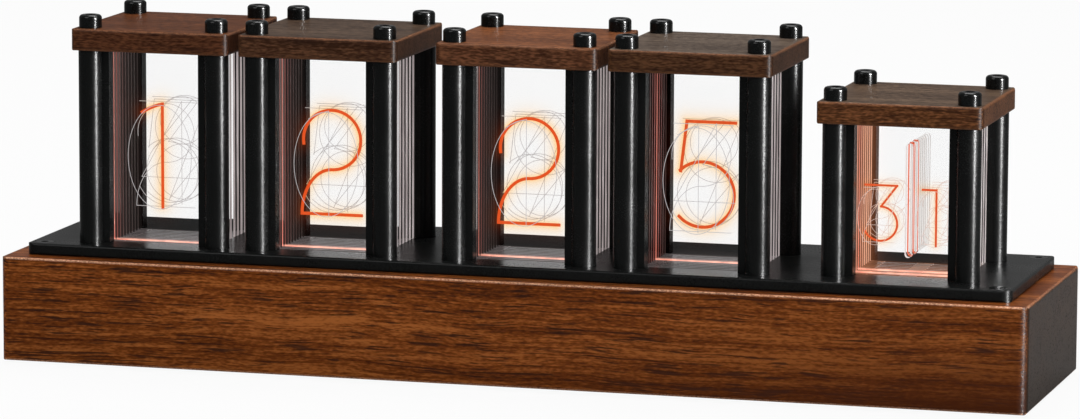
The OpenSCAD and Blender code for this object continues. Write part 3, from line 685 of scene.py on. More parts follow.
def light_feet(material, colours):
    """Adds to the metal plate's finish the light that the lit plates spill round their feet."""
    tree = material.node_tree
    shader = tree.nodes["Principled BSDF"]
    group = shared_group("foot_light", build_foot_light)
    place = object_place(tree)
    wide, narrow, date = 0.0, 0.0, 0.0
    for module in PLACES.values():
        for digit in module.lit_digits:
            middle = (module.plate_middle, module.plate_y[int(digit)], 0.0)
            light = use_group(tree, group, {"Vector": place, "Middle": middle,
                                            "Half Width": module.width / 2})
            if module.two_digits:
                date = math_node(tree, "MAXIMUM", light["Wide"], date)
            else:
                wide = math_node(tree, "MAXIMUM", light["Wide"], wide)
            narrow = math_node(tree, "MAXIMUM", light["Narrow"], narrow)
    glow = mix_colour(tree, wide, NO_LIGHT, colours.metal_glow)
    glow = mix_colour(tree, date, glow, colours.date_glow)
    glow = mix_colour(tree, narrow, glow, colours.lit_edge)
    feed(tree, shader, Emission_Color=glow)
    shader.inputs["Emission Strength"].default_value = 1.0


def point_value(tree, name):
    """Number that the piece's points carry."""
    return add_node(tree, "ShaderNodeAttribute", attribute_name=name).outputs["Fac"]


def seen_within(tree):
    """One where a face is seen from inside its plate, and nought from outside."""
    return add_node(tree, "ShaderNodeNewGeometry").outputs["Backfacing"]


def smoky_shade(tree, colour):
    """Colour of a face with its smoky line of painted shade, which shows on the side where a look enters the
    plate.
    """
    outside = math_node(tree, "SUBTRACT", 1.0, seen_within(tree))
    share = math_node(tree, "MULTIPLY", point_value(tree, "smoke_shade"), outside)
    # Painted shade: the smoky line's dark colour
    return mix_colour(tree, share, colour, (0.006, 0.0036, 0.003, 1))


def smoke_shade_glow(tree, glow):
    """Glow of a face with the faint light that its smoky line scatters, weaker towards the rear."""
    front, rear = PLACES[SMOKY_SHADE_MODULES[0]].plate_y[[0, -1]].tolist()
    weaker = map_range(tree, split_place(tree)["Y"], front, rear, 1.0, 0.25)
    return mix_colour(tree, math_node(tree, "MULTIPLY", point_value(tree, "smoke_shade"), weaker), glow, SMOKE_SHADE_GLOW)


def clear_face_material(name, tongue_glow, haze):
    """Polished face of a clear plate: faintly cloudy, with a smoky line of painted shade, no mirror sheen, a
    lit tongue.

    The haze is the light that the face scatters near the plate's left side.
    """
    material, tree, shader = new_material(name, **CLEAR_ACRYLIC)
    cloud = stretched_noise(tree, object_place(tree), (40.0, 40.0, 40.0), 1.0)
    clear = mix_colour(tree, cloud, (0.995, 0.995, 0.995, 1), (0.999, 0.999, 0.999, 1))
    low, high = [PLATE_TOP + height for height in TONGUE_FADE]
    tongue = map_range(tree, split_place(tree)["Z"], low, high, 1.0, 0.0)
    glow = smoke_shade_glow(tree, mix_colour(tree, point_value(tree, "haze"), NO_LIGHT, haze))
    glow = mix_colour(tree, tongue, glow, tongue_glow)
    feed(tree, shader, Base_Color=smoky_shade(tree, clear), Emission_Color=glow)
    return material


def slit_share(tree, slit_middle):
    """One at the edges of a slit in the plates, and nought well beside it and under it."""
    place = split_place(tree)
    aside = math_node(tree, "ABSOLUTE", math_node(tree, "SUBTRACT", place["X"], slit_middle))
    above = math_node(tree, "GREATER_THAN", place["Z"], PLATE_TOP + SLIT_FOOT / 2)
    return math_node(tree, "MULTIPLY", map_range(tree, aside, 2 * SLIT_HALF, 3 * SLIT_HALF, 1.0, 0.0), above)


def cut_edge_material(name, inner, foot, slit_middle=None):
    """Cut edge of an unlit plate: frosted, with the fine lines that the cutter leaves across it.

    An edge carries a little of the light in the stack. Seen through its own plate it has the inner colour,
    and a red one near the lit plate, over a dark base colour that is painted shade. From outside it glows
    pale with painted light in place of the lamps' light, which the plates keep off, and an edge that looks up
    or down has the foot colour. Where a slit's middle is given, the slit's edges glow paler still with
    painted light.
    """
    material, tree, shader = new_material(name, Specular_IOR_Level=0.2, Emission_Strength=1.0)
    cuts = stretched_noise(tree, object_place(tree), (900.0, 330.0, 60.0), 2.0)
    cuts = map_range(tree, cuts, 0.35, 0.65)
    within = seen_within(tree)
    frost = mix_colour(tree, cuts, (0.20, 0.18, 0.178, 1), (0.32, 0.30, 0.297, 1))
    # Painted light: the pale glow of an edge seen from outside stands for the lamps' light, which the plates
    # keep off
    pale = mix_colour(tree, cuts, (0.225, 0.19, 0.187, 1), (0.385, 0.34, 0.337, 1))
    deep = mix_colour(tree, cuts, dimmed(inner, 0.55), inner)
    deep = mix_colour(tree, point_value(tree, "lit_share"), deep, (0.34, 0.062, 0.045, 1))
    glow = mix_colour(tree, within, pale, deep)
    shine = mix_colour(tree, cuts, dimmed(foot, 0.3), foot)
    glow = mix_colour(tree, map_range(tree, face_turn(tree, 2), 0.6, 0.8), glow, shine)
    if slit_middle is not None:
        # Painted light: the slit's edges glow paler still
        glow = mix_colour(tree, slit_share(tree, slit_middle), glow, (0.56, 0.53, 0.51, 1))
    # Painted shade: the base colour is dark where the edge is seen from inside its plate
    feed(tree, shader, Base_Color=mix_colour(tree, within, frost, (0.04, 0.03, 0.027, 1)),
         Roughness=map_range(tree, cuts, 0.0, 1.0, 0.28, 0.5), Emission_Color=glow)
    return material


def lit_face_material(name, colours):
    """Clear acrylic beside a lit numeral: the halo tints what shows through, and the foot glows."""
    material, tree, shader = new_material(name, **CLEAR_ACRYLIC)
    halo = point_value(tree, "halo")
    tint = mix_colour(tree, halo, (0.994, 0.994, 0.994, 1), colours.halo)
    foot = map_range(tree, split_place(tree)["Z"], PLATE_TOP, PLATE_TOP + FOOT_GLOW, 0.9, 0.0)
    uneven = stretched_noise(tree, object_place(tree), (220.0, 220.0, 220.0), 2.0)
    foot = math_node(tree, "MULTIPLY", foot, map_range(tree, uneven, 0.35, 0.65, 0.45, 1.0))
    glow = smoke_shade_glow(tree, mix_colour(tree, halo, NO_LIGHT, dimmed(colours.lit_line, 0.06)))
    glow = mix_colour(tree, foot, glow, colours.lit_foot)
    feed(tree, shader, Base_Color=smoky_shade(tree, tint), Emission_Color=glow)
    return material


def lit_edge_material(name, colours, slit_middle):
    """Cut edge of a lit plate: bright where it is seen through the plate, dimmer from outside, uneven.

    The slit's edges glow like the lit lines.
    """
    material, tree, shader = new_material(name, Roughness=0.35, Specular_IOR_Level=0.2,
                                          Emission_Strength=1.0)
    fade = map_range(tree, split_place(tree)["Z"], PLATE_TOP, PLATE_TOP + EDGE_FADE, 1.0, 0.6)
    uneven = stretched_noise(tree, object_place(tree), (60.0, 300.0, 60.0), 2.0)
    share = math_node(tree, "MULTIPLY", fade, map_range(tree, uneven, 0.35, 0.65, 0.7, 1.0))
    share = math_node(tree, "MULTIPLY", share, map_range(tree, seen_within(tree), 0.0, 1.0, 0.5, 1.0))
    at_slit = slit_share(tree, slit_middle)
    glow = mix_colour(tree, share, NO_LIGHT, colours.lit_edge)
    feed(tree, shader, Base_Color=mix_colour(tree, at_slit, (0.30, 0.20, 0.17, 1), (0.08, 0.02, 0.01, 1)),
         Emission_Color=mix_colour(tree, at_slit, glow, colours.lit_line))
    return material


def line_material(name, base, glow):
    """Engraved line that scatters the light in its plate, a little uneven along its length; on unlit lines
    the glow is partly painted light.
    """
    material, tree, shader = new_material(name, Roughness=0.6, Specular_IOR_Level=0.2, Emission_Strength=1.0)
    uneven = stretched_noise(tree, object_place(tree), (900.0, 900.0, 900.0), 2.0)
    share = map_range(tree, uneven, 0.35, 0.65)
    feed(tree, shader, Base_Color=mix_colour(tree, share, dimmed(base, 0.8), base),
         Emission_Color=mix_colour(tree, share, dimmed(glow, 0.92), glow))
    return material


# Numerals

def arc(middle, radii, start, end):
    """Points of an elliptic arc: the middle plus the radii times cosine and sine of a turning angle."""
    angle = np.radians(np.linspace(start, end, ARC_POINTS))
    return np.stack([middle[0] + radii[0] * np.cos(angle), middle[1] + radii[1] * np.sin(angle)], axis=1)


def line(start, end):
    """Points of a straight stroke."""
    return np.linspace(start, end, STRAIGHT_POINTS)


def bow(start, pull, end):
    """Points of a slightly bent stroke: a parabola between two points, drawn towards a third."""
    share = np.linspace(0, 1, BOW_POINTS)[:, None]
    start, pull, end = np.array(start), np.array(pull), np.array(end)
    return (1 - share) ** 2 * start + 2 * share * (1 - share) * pull + share ** 2 * end


def numeral_strokes(digit, small):
    """Strokes of a numeral on the numeral grid, its foot on zero: points of each, and if it is closed."""
    head = NUMERAL_UNITS
    flag = line((-8.0, head), (0.0, head)) if small else bow((-6.5, 29.3), (-3.2, 31.3), (0.0, head))
    tail = line((5.0, head), (-7.74, 16.08))
    rings = {
        "0": [((0, 16.0), (10.2, 16.0))],
        "6": [((0, 9.9), (9.9, 9.9))],
        "8": [((0, 24.6), (7.4, 7.4)), ((0, 8.6), (8.6, 8.6))],
        "9": [((0, 22.1), (9.9, 9.9))],
    }
    open_strokes = {
        "1": [flag, line((0, head), (0, 0))],
        "2": [arc((0.2, 22.8), (9.1, 9.1), 188, -90), arc((0.2, 0), (9.6, 13.7), 90, 180),
              line((-9.4, 0), (9.5, 0))],
        "3": [line((-9.2, head), (9.2, head)), line((9.2, head), (0, 19.8)),
              arc((-0.4, 9.9), (9.9, 9.9), 88, -153)],
        "4": [line((3.4, head), (-9.6, 8.2)), line((-9.6, 8.2), (9.4, 8.2)), line((3.4, head), (3.4, 0))],
        "5": [line((8.6, head), (-6.4, head)), line((-6.4, head), (-8.2, 16.9)),
              arc((-1.5, 10.0), (9.9, 9.9), 134, -136)],
        "6": [tail],
        "7": [line((-9.0, head), (9.2, head)), line((9.2, head), (-3.6, 0))],
        "9": [np.array([0, head]) - tail],
    }
    closed = [(arc(middle, radii, 0, 360)[:-1], True) for middle, radii in rings.get(digit, [])]
    return closed + [(points, False) for points in open_strokes.get(digit, [])]


def raised_line(points, half_width, depth, closed):
    """Grid of a raised line along a flat path.

    Across the path the line runs from minus to plus its half width, and rises by its depth times the
    root of one less the square of that share. The arch's two feet are joined along the plate.
    """
    ahead = np.roll(points, -1, axis=0) - points
    behind = np.roll(ahead, 1, axis=0)
    if not closed:
        ahead[-1] = behind[-1]
        behind[0] = ahead[0]
    along = unit(unit(ahead) + unit(behind))
    if not closed:
        points = points.copy()
        points[0] -= along[0] * half_width
        points[-1] += along[-1] * half_width
    side = np.stack([-along[:, 1], along[:, 0]], axis=1)
    across = np.linspace(-1, 1, ARCH_POINTS)
    flat = points[:, None, :] + side[:, None, :] * (across * half_width)[None, :, None]
    rise = np.broadcast_to(depth * np.sqrt(1 - across ** 2), flat.shape[:2])
    return np.stack([flat[..., 0], rise, flat[..., 1]], axis=-1)


class LineMesh:
    """Collects raised lines into one mesh."""

    def __init__(self):
        self.points = []
        self.faces = []
        self.count = 0

    def add(self, grid, closed):
        """Adds one line's grid, with flat ends where the line is open."""
        rows, columns = grid.shape[:2]
        self.points.append(grid.reshape(-1, 3))
        quads = grid_quads(rows, columns, wrap_rows=closed, wrap_columns=True) + self.count
        self.faces += quads.tolist()
        if not closed:
            ring = np.arange(columns) + self.count
            self.faces.append(ring[::-1].tolist())
            self.faces.append((ring + (rows - 1) * columns).tolist())
        self.count += rows * columns


def numeral_places(module, sizes):
    """Middles along X, foot above the plate, height and style of a module's numerals."""
    if module.two_digits:
        middles = [module.post_middle - sizes.date_offset, module.post_middle + sizes.date_offset]
        return middles, sizes.date_foot, sizes.date_height, True
    return [module.post_middle], sizes.tall_foot, sizes.tall_height, False


def placed_strokes(module, digit, side, sizes):
    """Strokes of one numeral on its plate, as X and Z in metres."""
    middles, foot, height, small = numeral_places(module, sizes)
    scale = height / NUMERAL_UNITS
    place = np.array([middles[side], PLATE_TOP + foot])
    return [(place + points * scale, closed) for points, closed in numeral_strokes(digit, small)]


def line_share(module, sizes):
    """Width of a module's lines and halos as a share of the tall modules'."""
    return sizes.date_share if module.two_digits else 1.0


def is_shown(module, digit, side):
    """Whether the numeral on one side of a plate is the lit one."""
    return module.shown[side] == digit


# Digit plates

def filled(marks, step):
    """Numbers from the first mark to the last that pass through every mark, about a step apart."""
    marks = np.array(marks)
    counts = np.maximum(np.round(np.diff(marks) / step).astype(int), 1)
    spans = zip(marks, marks[1:], counts)
    return np.concatenate([marks[:1]] + [np.linspace(low, high, count + 1)[1:] for low, high, count in spans])


def plate_outline(module, step):
    """Grid of a plate's face at about a given step, and which of its cells are clear plastic.

    X is counted from the plate's middle and Z from its foot. The lines follow the plate's edges, tongues
    and slit, so a cell is either whole or left out. The two lines at the slit's ends are bent outwards
    to half circles.
    """
    half = module.width / 2
    height = module.top - PLATE_TOP
    slit_low = SLIT_FOOT + SLIT_HALF
    slit_high = height - SLIT_HEAD - SLIT_HALF
    inner, outer = DATE_TONGUE if module.two_digits else (0.0, TONGUE_HALF)
    left = [-half] + [mark - half for mark in SMOKE_SHADE_MARKS]
    x_marks = left + [-outer, outer, half]
    z_marks = [TONGUE_BOTTOM - PLATE_TOP, 0.0, height]
    if module.two_digits:
        across = np.linspace(-SLIT_HALF, SLIT_HALF, SLIT_LINES).tolist()
        x_marks = left + [-outer, -inner] + across + [inner, outer, half]
        z_marks[2:2] = [slit_low - SLIT_ROOM, slit_low, slit_high, slit_high + SLIT_ROOM]
    x_lines = filled(x_marks, step)
    z_lines = filled(z_marks, step)
    x, z = np.meshgrid(x_lines, z_lines)
    cell_x = np.abs(x_lines[1:] + x_lines[:-1])[None, :] / 2
    cell_z = (z_lines[1:] + z_lines[:-1])[:, None] / 2
    whole = (cell_z > 0) | ((cell_x > inner) & (cell_x < outer))
    if module.two_digits:
        whole &= ~((cell_x < SLIT_HALF) & (cell_z > slit_low) & (cell_z < slit_high))
        bulge = np.sqrt(np.clip(SLIT_HALF ** 2 - x ** 2, 0, None))
        z = z - bulge * np.isclose(z, slit_low) + bulge * np.isclose(z, slit_high)
    return x, z, whole


def plate_sheet(module, digit, step):
    """Middle sheet of a plate: a grid of X and Z with the cells of the outline, at the plate's depth."""
    x, z, whole = plate_outline(module, step)
    quads = grid_quads(*x.shape)[whole.ravel()]
    used, numbers = np.unique(quads, return_inverse=True)
    depth = np.full(len(used), module.plate_y[int(digit)])
    points = np.stack([x.ravel()[used] + module.plate_middle, depth, z.ravel()[used] + PLATE_TOP], axis=1)
    return points, numbers.reshape(quads.shape)


def smoke_shade_at(points, module):
    """Share of the smoky line's painted shade at points of a plate, by their distance from its left side, in
    the smoky stacks.
    """
    aside = points[:, 0] - module.plate_middle + module.width / 2
    return np.interp(aside, SMOKE_SHADE_MARKS, [0, 1, 1, 0]) * (module.name in SMOKY_SHADE_MODULES)


def haze_at(points, module):
    """Haze at points of a plate: e to the power of minus their distance from its left side over a reach.

    It is whole at the front plate and falls to a tenth at the rear one.
    """
    aside = np.exp((module.plate_middle - module.width / 2 - points[:, 0]) / HAZE_REACH)
    return aside * np.interp(points[:, 1], module.plate_y[[0, -1]], [1.0, 0.1])


def lit_share_at(points, module):
    """Light that reaches points of the stack from its lit plates.

    It is e to the power of minus the distance to the next lit plate as a share of a reach.
    """
    lit = np.array([module.plate_y[int(digit)] for digit in module.lit_digits])
    distance = np.abs(points[:, 1:2] - lit[None, :]).min(axis=1)
    return np.exp(-distance / LIT_REACH)


def add_attribute(piece, name, values):
    """Stores one number a point on a piece."""
    attribute = piece.data.attributes.new(name, "FLOAT", "POINT")
    attribute.data.foreach_set("value", values.astype(np.float32))


def halo_at(points, module, digit, sizes):
    """Halo at points of a lit plate.

    It is e to the power of minus the distance from the lit line, as a share of the halo's radius. On the
    date's plates both the radius and the halo are smaller. The line is taken at four points on each of its
    short steps.
    """
    sides = [side for side in range(len(module.shown)) if is_shown(module, digit, side)]
    strokes = [stroke for side in sides for stroke, closed in placed_strokes(module, digit, side, sizes)]
    starts = np.concatenate([stroke[:-1] for stroke in strokes])
    steps = np.concatenate([np.diff(stroke, axis=0) for stroke in strokes])
    shares = np.array([0.0, 0.25, 0.5, 0.75])[:, None, None]
    lit_line = (starts + steps * shares).reshape(-1, 2)
    flat = points[:, [0, 2]]
    distance = np.sqrt(((flat[:, None, :] - lit_line[None, :, :]) ** 2).sum(axis=2)).min(axis=1)
    share = line_share(module, sizes)
    return share * np.exp(-distance / (sizes.halo_radius * share))


def thicken_plate(piece):
    """Gives a sheet the plates' thickness, with its second material on the cut edges."""
    wall = piece.modifiers.new("thickness", "SOLIDIFY")
    wall.thickness = PLATE_THICKNESS
    wall.offset = 0.0
    wall.material_offset_rim = 1


# Operators

class CLOCK_OT_stage(bpy.types.Operator):
    """Make the camera, the pale floor, the soft lights and the room"""

    bl_idname = "clock.stage"
    bl_label = "Stage"

    def execute(self, context):
        settings = context.scene.clock_stage
        self.make_camera(context.scene, settings)
        self.make_floor(context.scene)
        self.make_room(context.scene, settings.world_light, settings.world_gloss)
        self.make_light("key_light", settings.key_power)
        self.make_light("strip_light", settings.strip_power)
        gloss = self.make_light("gloss_light", settings.gloss_power)
        gloss.visible_diffuse = False
        gloss.visible_transmission = False
        self.make_light("top_light", settings.top_power)
        context.scene.view_settings.view_transform = "Standard"
        bounces = context.scene.cycles
        bounces.max_bounces = MOST_BOUNCES
        bounces.transmission_bounces = MOST_BOUNCES
        bounces.glossy_bounces = GLOSS_BOUNCES
        return {"FINISHED"}

    def make_camera(self, scene, settings):
        """The camera's axes: back and right from yaw and pitch, then both turned about the view."""
        yaw, pitch, roll = settings.camera_yaw, settings.camera_pitch, settings.camera_roll
        back = Vector((math.sin(yaw) * math.cos(pitch), -math.cos(yaw) * math.cos(pitch), math.sin(pitch)))
        right = Vector((math.cos(yaw), math.sin(yaw), 0.0))
        up = back.cross(right)
        turned_right = right * math.cos(roll) + up * math.sin(roll)
        turned_up = up * math.cos(roll) - right * math.sin(roll)
        data = bpy.data.cameras.new("camera")
        data.lens = settings.lens
        data.sensor_width = SENSOR_WIDTH
        camera = bpy.data.objects.new("camera", data)
        turn = Matrix((turned_right, turned_up, back)).transposed()
        camera.matrix_world = Matrix.Translation(Vector(settings.camera_place)) @ turn.to_4x4()
        scene.collection.objects.link(camera)
        scene.camera = camera

    def make_floor(self, scene):
        """A flat grid just under the feet: nearly white to the camera, dim in gloss, with a faint shadow."""
        side = np.linspace(-FLOOR_REACH, FLOOR_REACH, FLOOR_POINTS)
        x, y = np.meshgrid(side, side)
        points = np.stack([x.ravel(), y.ravel(), np.full(x.size, CAD_BOX[0][2] - FLOOR_GAP)], axis=1)
        mesh = bpy.data.meshes.new("floor")
        mesh.from_pydata(points.tolist(), [], grid_quads(FLOOR_POINTS, FLOOR_POINTS).tolist())
        floor = bpy.data.objects.new("floor", mesh)
        scene.collection.objects.link(floor)
        material, tree, shader = new_material("pale_floor", Roughness=0.9, Specular_IOR_Level=0.0)
        uneven = stretched_noise(tree, object_place(tree), (3.0, 3.0, 3.0), 2.0)
        pale = mix_colour(tree, uneven, (0.36, 0.36, 0.36, 1), (0.40, 0.40, 0.40, 1))
        glossy = add_node(tree, "ShaderNodeLightPath").outputs["Is Glossy Ray"]
        feed(tree, shader, Base_Color=mix_colour(tree, glossy, pale, (0.17, 0.17, 0.17, 1)))
        white = add_node(tree, "ShaderNodeEmission", {"Color": WHITE, "Strength": 1.0})
        share = math_node(tree, "MULTIPLY", self.seen_rays(tree, 0), 0.94)
        mixed = add_node(tree, "ShaderNodeMixShader",
                         {0: share, 1: shader.outputs[0], 2: white.outputs[0]})
        feed(tree, tree.nodes["Material Output"], Surface=mixed.outputs[0])
        mesh.materials.append(material)

    def make_room(self, scene, strength, gloss):
        """Even light all round, white where it is seen, dim in gloss, and dimmer there behind the plates."""
        world = bpy.data.worlds.new("room")
        world.use_nodes = True
        tree = world.node_tree
        room = tree.nodes["Background"]
        room.inputs["Color"].default_value = WHITE
        path = add_node(tree, "ShaderNodeLightPath").outputs
        behind = map_range(tree, path["Transmission Depth"], 0.0, 1.0, gloss, 0.25 * gloss)
        level = map_range(tree, path["Is Glossy Ray"], 0.0, 1.0, strength, behind)
        feed(tree, room, Strength=level)
        white = add_node(tree, "ShaderNodeBackground", {"Color": WHITE, "Strength": 1.0})
        mixed = add_node(tree, "ShaderNodeMixShader",
                         {0: self.seen_rays(tree, 1), 1: room.outputs[0], 2: white.outputs[0]})
        feed(tree, tree.nodes["World Output"], Surface=mixed.outputs[0])
        scene.world = world

    def seen_rays(self, tree, mirrors):
        """One for looks from the camera, straight or through clear plastic, and nought for other rays.

        A look through the plastic may be mirrored as many times as is given.
        """
        path = add_node(tree, "ShaderNodeLightPath").outputs
        unspread = math_node(tree, "LESS_THAN", path["Diffuse Depth"], 0.5)
        few = math_node(tree, "LESS_THAN", path["Glossy Depth"], mirrors + 0.5)
        through = math_node(tree, "MULTIPLY", path["Is Transmission Ray"],
                            math_node(tree, "MULTIPLY", unspread, few))
        return math_node(tree, "MAXIMUM", path["Is Camera Ray"], through)

    def make_light(self, name, power):
        """A rectangular soft light at its place, turned to the lights' common aim."""
        place, size = LIGHTS[name]
        data = bpy.data.lights.new(name, "AREA")
        data.shape = "RECTANGLE"
        data.size, data.size_y = size
        data.energy = power
        light = bpy.data.objects.new(name, data)
        light.location = place
        light.rotation_euler = (Vector(LIGHT_AIM) - Vector(place)).to_track_quat("-Z", "Y").to_euler()
        bpy.context.scene.collection.objects.link(light)
        return light


class CLOCK_OT_walnut(bpy.types.Operator):
    """Finish the base and the caps in walnut"""

    bl_idname = "clock.walnut"
    bl_label = "Walnut base and caps"

    def execute(self, context):
        colours = context.scene.clock_colours
        tones = (colours.walnut_light, colours.walnut_middle, colours.walnut_dark)
        base = walnut_material("walnut_base", "base_block", tones, colours.walnut_pore,
                               pores=0.85, flecks=0.24, worn_highlight=colours.walnut_worn_highlight,
                               shift=(0.31, 0.07, 0.02), end=colours.walnut_end)
        finish_node("base_block", base)
        for number, module in enumerate(MODULES):
            # A cap's tint, and its top's, which carries a painted sheen
            tint, top = CAP_TINTS_AND_TOP_SHEEN[module]
            tint = np.array(tint + (1.0,))
            tones = [tint * tone for tone in (colours.cap_light, colours.cap_middle, colours.cap_dark)]
            cap = walnut_material("walnut_cap_" + module, module + "_cap", tones, colours.walnut_pore,
                                  pores=0.6, flecks=0.5, worn_highlight=colours.cap_worn_highlight,
                                  shift=(0.4 + 0.37 * number, 0.1, 0.05), top=top)
            finish_node(module + "_cap", cap)
        return {"FINISHED"}


class CLOCK_OT_black_metal(bpy.types.Operator):
    """Finish the metal plate, the posts and the screws in black"""

    bl_idname = "clock.black_metal"
    bl_label = "Black metal"

    def execute(self, context):
        colours = context.scene.clock_colours
        black = colours.satin_black
        bright = (0.0066, 0.0072, 0.0071, 1)
        deep = (0.0034, 0.0038, 0.0037, 1)
        deep_bright = (0.006, 0.0064, 0.0063, 1)
        plate, cover = [
            blasted_material(name, black, bright, grains=2600.0, smooth=0.24, rough=0.34, relief=0.06,
                             Specular_IOR_Level=0.11)
            for name in ("satin_plate", "satin_cover")]
        post = blasted_material("blasted_post", deep, deep_bright, grains=2400.0, smooth=0.18, rough=0.30,
                                relief=0.15, Specular_IOR_Level=0.12)
        screw = blasted_material("black_screw", deep, deep_bright, grains=1800.0, smooth=0.14, rough=0.20,
                                 relief=0.01, Specular_IOR_Level=0.15)
        light_feet(plate, colours)
        finish_node("top_plate", plate)
        finish_node("bottom_cover", cover)
        finish_node("top_plate_screws", screw)
        finish_node("bottom_cover_screws", screw)
        for module in MODULES:
            finish_node(module + "_posts", post)
            finish_node(module + "_cap_screws", screw)
        return {"FINISHED"}


class CLOCK_OT_clear_plates(bpy.types.Operator):
    """Make the unlit digit plates, with polished faces and frosted edges"""

    bl_idname = "clock.clear_plates"
    bl_label = "Clear plates"

    def execute(self, context):
        tall_face = clear_face_material("clear_acrylic", tongue_glow=(0.13, 0.116, 0.114, 1), haze=NO_LIGHT)
        date_face = clear_face_material("date_clear_acrylic", tongue_glow=(0.12, 0.045, 0.022, 1),
                                        haze=(0.07, 0.024, 0.011, 1))
        tall_edge = cut_edge_material("cut_edge", inner=(0.032, 0.0245, 0.0225, 1),
                                      foot=(0.20, 0.17, 0.17, 1))
        date_edge = cut_edge_material("date_cut_edge", inner=(0.82, 0.44, 0.30, 1),
                                      foot=(0.42, 0.19, 0.10, 1), slit_middle=PLACES["date"].plate_middle)
        for name, module in PLACES.items():
            materials = [date_face, date_edge] if module.two_digits else [tall_face, tall_edge]
            digits = [digit for digit in DIGITS if digit not in module.lit_digits]
            sheets = [plate_sheet(module, digit, PLAIN_STEP) for digit in digits]
            count = len(sheets[0][0])
            points = np.concatenate([sheet for sheet, quads in sheets])
            quads = np.concatenate([quads + count * number for number, (sheet, quads) in enumerate(sheets)])
            piece = add_piece(name + "_clear_plates", points, quads.tolist(), materials)
            add_attribute(piece, "smoke_shade", smoke_shade_at(points, module))
            add_attribute(piece, "lit_share", lit_share_at(points, module))
            add_attribute(piece, "haze", haze_at(points, module))
            thicken_plate(piece)
            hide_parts(name + "_plates")
        return {"FINISHED"}


class CLOCK_OT_lit_plates(bpy.types.Operator):
    """Make the lit digit plates, with a halo on their faces and light in their edges"""

    bl_idname = "clock.lit_plates"
    bl_label = "Lit plates"

    def execute(self, context):
        sizes = context.scene.clock_numerals
        colours = context.scene.clock_colours
        lit_edge = lit_edge_material("lit_cut_edge", colours, PLACES["date"].plate_middle)
        materials = [lit_face_material("lit_acrylic", colours), lit_edge]
        for name, module in PLACES.items():
            for number, digit in enumerate(module.lit_digits):
                points, quads = plate_sheet(module, digit, HALO_STEP)
                title = "%s_lit_plate_%s" % (name, digit)
                piece = add_piece(title, points, quads.tolist(), materials)
                add_attribute(piece, "halo", halo_at(points, module, digit, sizes))
                add_attribute(piece, "smoke_shade", smoke_shade_at(points, module))
                thicken_plate(piece)
                if number == 0:
                    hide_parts(name + "_lit_plates")
        return {"FINISHED"}


class CLOCK_OT_numerals(bpy.types.Operator):
    """Draw every plate's numeral on its rear face"""

    bl_idname = "clock.numerals"
    bl_label = "Numerals"

    def execute(self, context):
        sizes = context.scene.clock_numerals
        colours = context.scene.clock_colours
        frost = (0.2, 0.19, 0.2, 1)
        # The unlit lines' glow is partly painted light, in place of the lamps' light that the plates keep off
        tall_frosted = line_material("engraved_line", frost, glow=(0.45, 0.43, 0.43, 1))
        date_frosted = line_material("date_engraved_line", frost, glow=(0.66, 0.50, 0.44, 1))
        glowing = line_material("lit_line", (0.05, 0.02, 0.01, 1), glow=tuple(colours.lit_line))
        for name, module in PLACES.items():
            unlit, lit = LineMesh(), LineMesh()
            for digit in DIGITS:
                for side in range(len(module.shown)):
                    shown = is_shown(module, digit, side)
                    half = (sizes.lit_width if shown else sizes.line_width) / 2
                    half *= line_share(module, sizes)
                    rear = module.plate_y[int(digit)] + PLATE_THICKNESS / 2
                    for points, closed in placed_strokes(module, digit, side, sizes):
                        grid = raised_line(points, half, sizes.line_depth, closed)
                        (lit if shown else unlit).add(grid + np.array([0, rear, 0]), closed)
            frosted = date_frosted if module.two_digits else tall_frosted
            add_piece(name + "_engraved_numerals", np.concatenate(unlit.points), unlit.faces, [frosted],
                      smooth=True)
            add_piece(name + "_lit_numeral", np.concatenate(lit.points), lit.faces, [glowing],
                      smooth=True)
        return {"FINISHED"}


class CLOCK_OT_rear_fittings(bpy.types.Operator):
    """Finish the buttons, the power inlet and the feet"""

    bl_idname = "clock.rear_fittings"
    bl_label = "Buttons, inlet and feet"

    def execute(self, context):
        button = blasted_material("button_plastic", (0.011, 0.011, 0.012, 1), (0.02, 0.02, 0.021, 1),
                                  grains=1500.0, smooth=0.34, rough=0.48, relief=0.12)
        steel = blasted_material("bright_steel", (0.56, 0.56, 0.55, 1), (0.63, 0.63, 0.62, 1),
                                 grains=1500.0, smooth=0.2, rough=0.34, relief=0.03, Metallic=1.0)
        rubber = blasted_material("foot_rubber", (0.014, 0.014, 0.014, 1), (0.03, 0.03, 0.03, 1),
                                  grains=1200.0, smooth=0.75, rough=0.92, relief=0.3)
        for name in ("set", "up", "down"):
            finish_node(name + "_button", button)
            finish_node(name + "_plunger", steel)
        finish_node("power_inlet", steel)
        finish_node("rubber_feet", rubber)
        return {"FINISHED"}


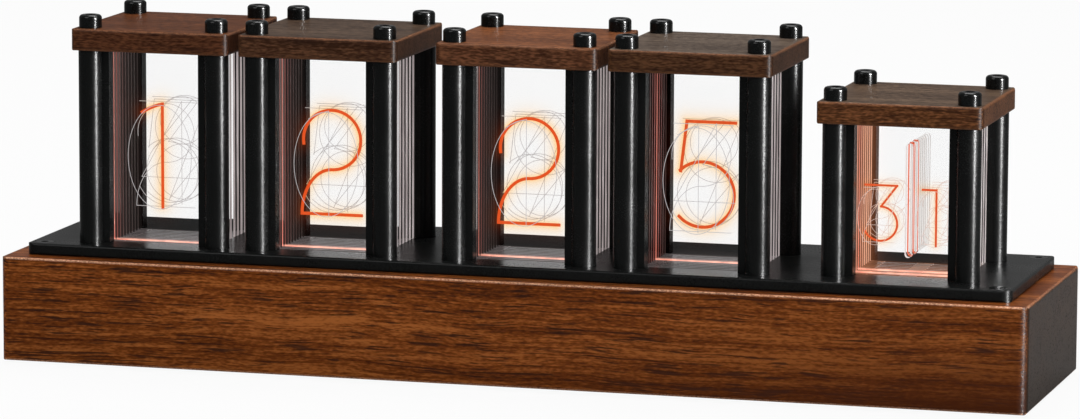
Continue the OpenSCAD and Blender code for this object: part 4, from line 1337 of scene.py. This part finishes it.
class CLOCK_OT_inner_pieces(bpy.types.Operator):
    """Finish the boards, blocks and fixings inside the base"""

    bl_idname = "clock.inner_pieces"
    bl_label = "Inner pieces"

    def execute(self, context):
        plastic = blasted_material("black_plastic", (0.013, 0.013, 0.014, 1), (0.024, 0.024, 0.025, 1),
                                   grains=900.0, smooth=0.45, rough=0.62, relief=0.1)
        board = blasted_material("board_green", (0.012, 0.09, 0.045, 1), (0.03, 0.14, 0.07, 1),
                                 grains=500.0, smooth=0.3, rough=0.45, relief=0.05)
        steel = blasted_material("fixing_steel", (0.5, 0.5, 0.5, 1), (0.6, 0.6, 0.6, 1),
                                 grains=900.0, smooth=0.25, rough=0.4, relief=0.03, Metallic=1.0)
        diode = blasted_material("diode_white", (0.75, 0.75, 0.72, 1), (0.82, 0.82, 0.8, 1),
                                 grains=900.0, smooth=0.4, rough=0.5, relief=0.02)
        for name in ("main_board_chips", "board_headers", "coin_cell_holder", "tact_switches",
                     "main_board_spacers"):
            finish_node(name, plastic)
        for name in ("main_board_screws", "coin_cell", "post_screws", "light_board_screws"):
            finish_node(name, steel)
        finish_node("main_board", board)
        finish_node("leds", diode)
        for module in MODULES:
            finish_node(module + "_slot_block", plastic)
            finish_node(module + "_light_board", board)
        return {"FINISHED"}


class CLOCK_PT_finishes(bpy.types.Panel):
    """Lists the steps that dress the clock"""

    bl_idname = "CLOCK_PT_finishes"
    bl_label = "Clock finishes"
    bl_space_type = "VIEW_3D"
    bl_region_type = "UI"
    bl_category = "Clock"

    def draw(self, context):
        for step in STEPS:
            self.layout.operator(step.bl_idname)
        for group in (context.scene.clock_numerals, context.scene.clock_colours, context.scene.clock_stage):
            column = self.layout.column(align=True)
            for name in group.__annotations__:
                column.prop(group, name)


STEPS = (
    CLOCK_OT_stage, CLOCK_OT_walnut, CLOCK_OT_black_metal, CLOCK_OT_clear_plates, CLOCK_OT_lit_plates,
    CLOCK_OT_numerals, CLOCK_OT_rear_fittings, CLOCK_OT_inner_pieces,
)
CLASSES = (ClockNumeralSizes, ClockColours, ClockStageSettings) + STEPS + (CLOCK_PT_finishes,)


def register():
    """Registers the classes and the settings on the scene."""
    for item in CLASSES:
        bpy.utils.register_class(item)
    bpy.types.Scene.clock_numerals = PointerProperty(type=ClockNumeralSizes)
    bpy.types.Scene.clock_colours = PointerProperty(type=ClockColours)
    bpy.types.Scene.clock_stage = PointerProperty(type=ClockStageSettings)


def unregister():
    """Takes the settings and the classes away again."""
    del bpy.types.Scene.clock_stage
    del bpy.types.Scene.clock_colours
    del bpy.types.Scene.clock_numerals
    for item in reversed(CLASSES):
        bpy.utils.unregister_class(item)


def main():
    """Dresses the clock step by step."""
    register()
    for step in STEPS:
        family, action = step.bl_idname.split(".")
        getattr(getattr(bpy.ops, family), action)()


if __name__ == "__main__":
    main()
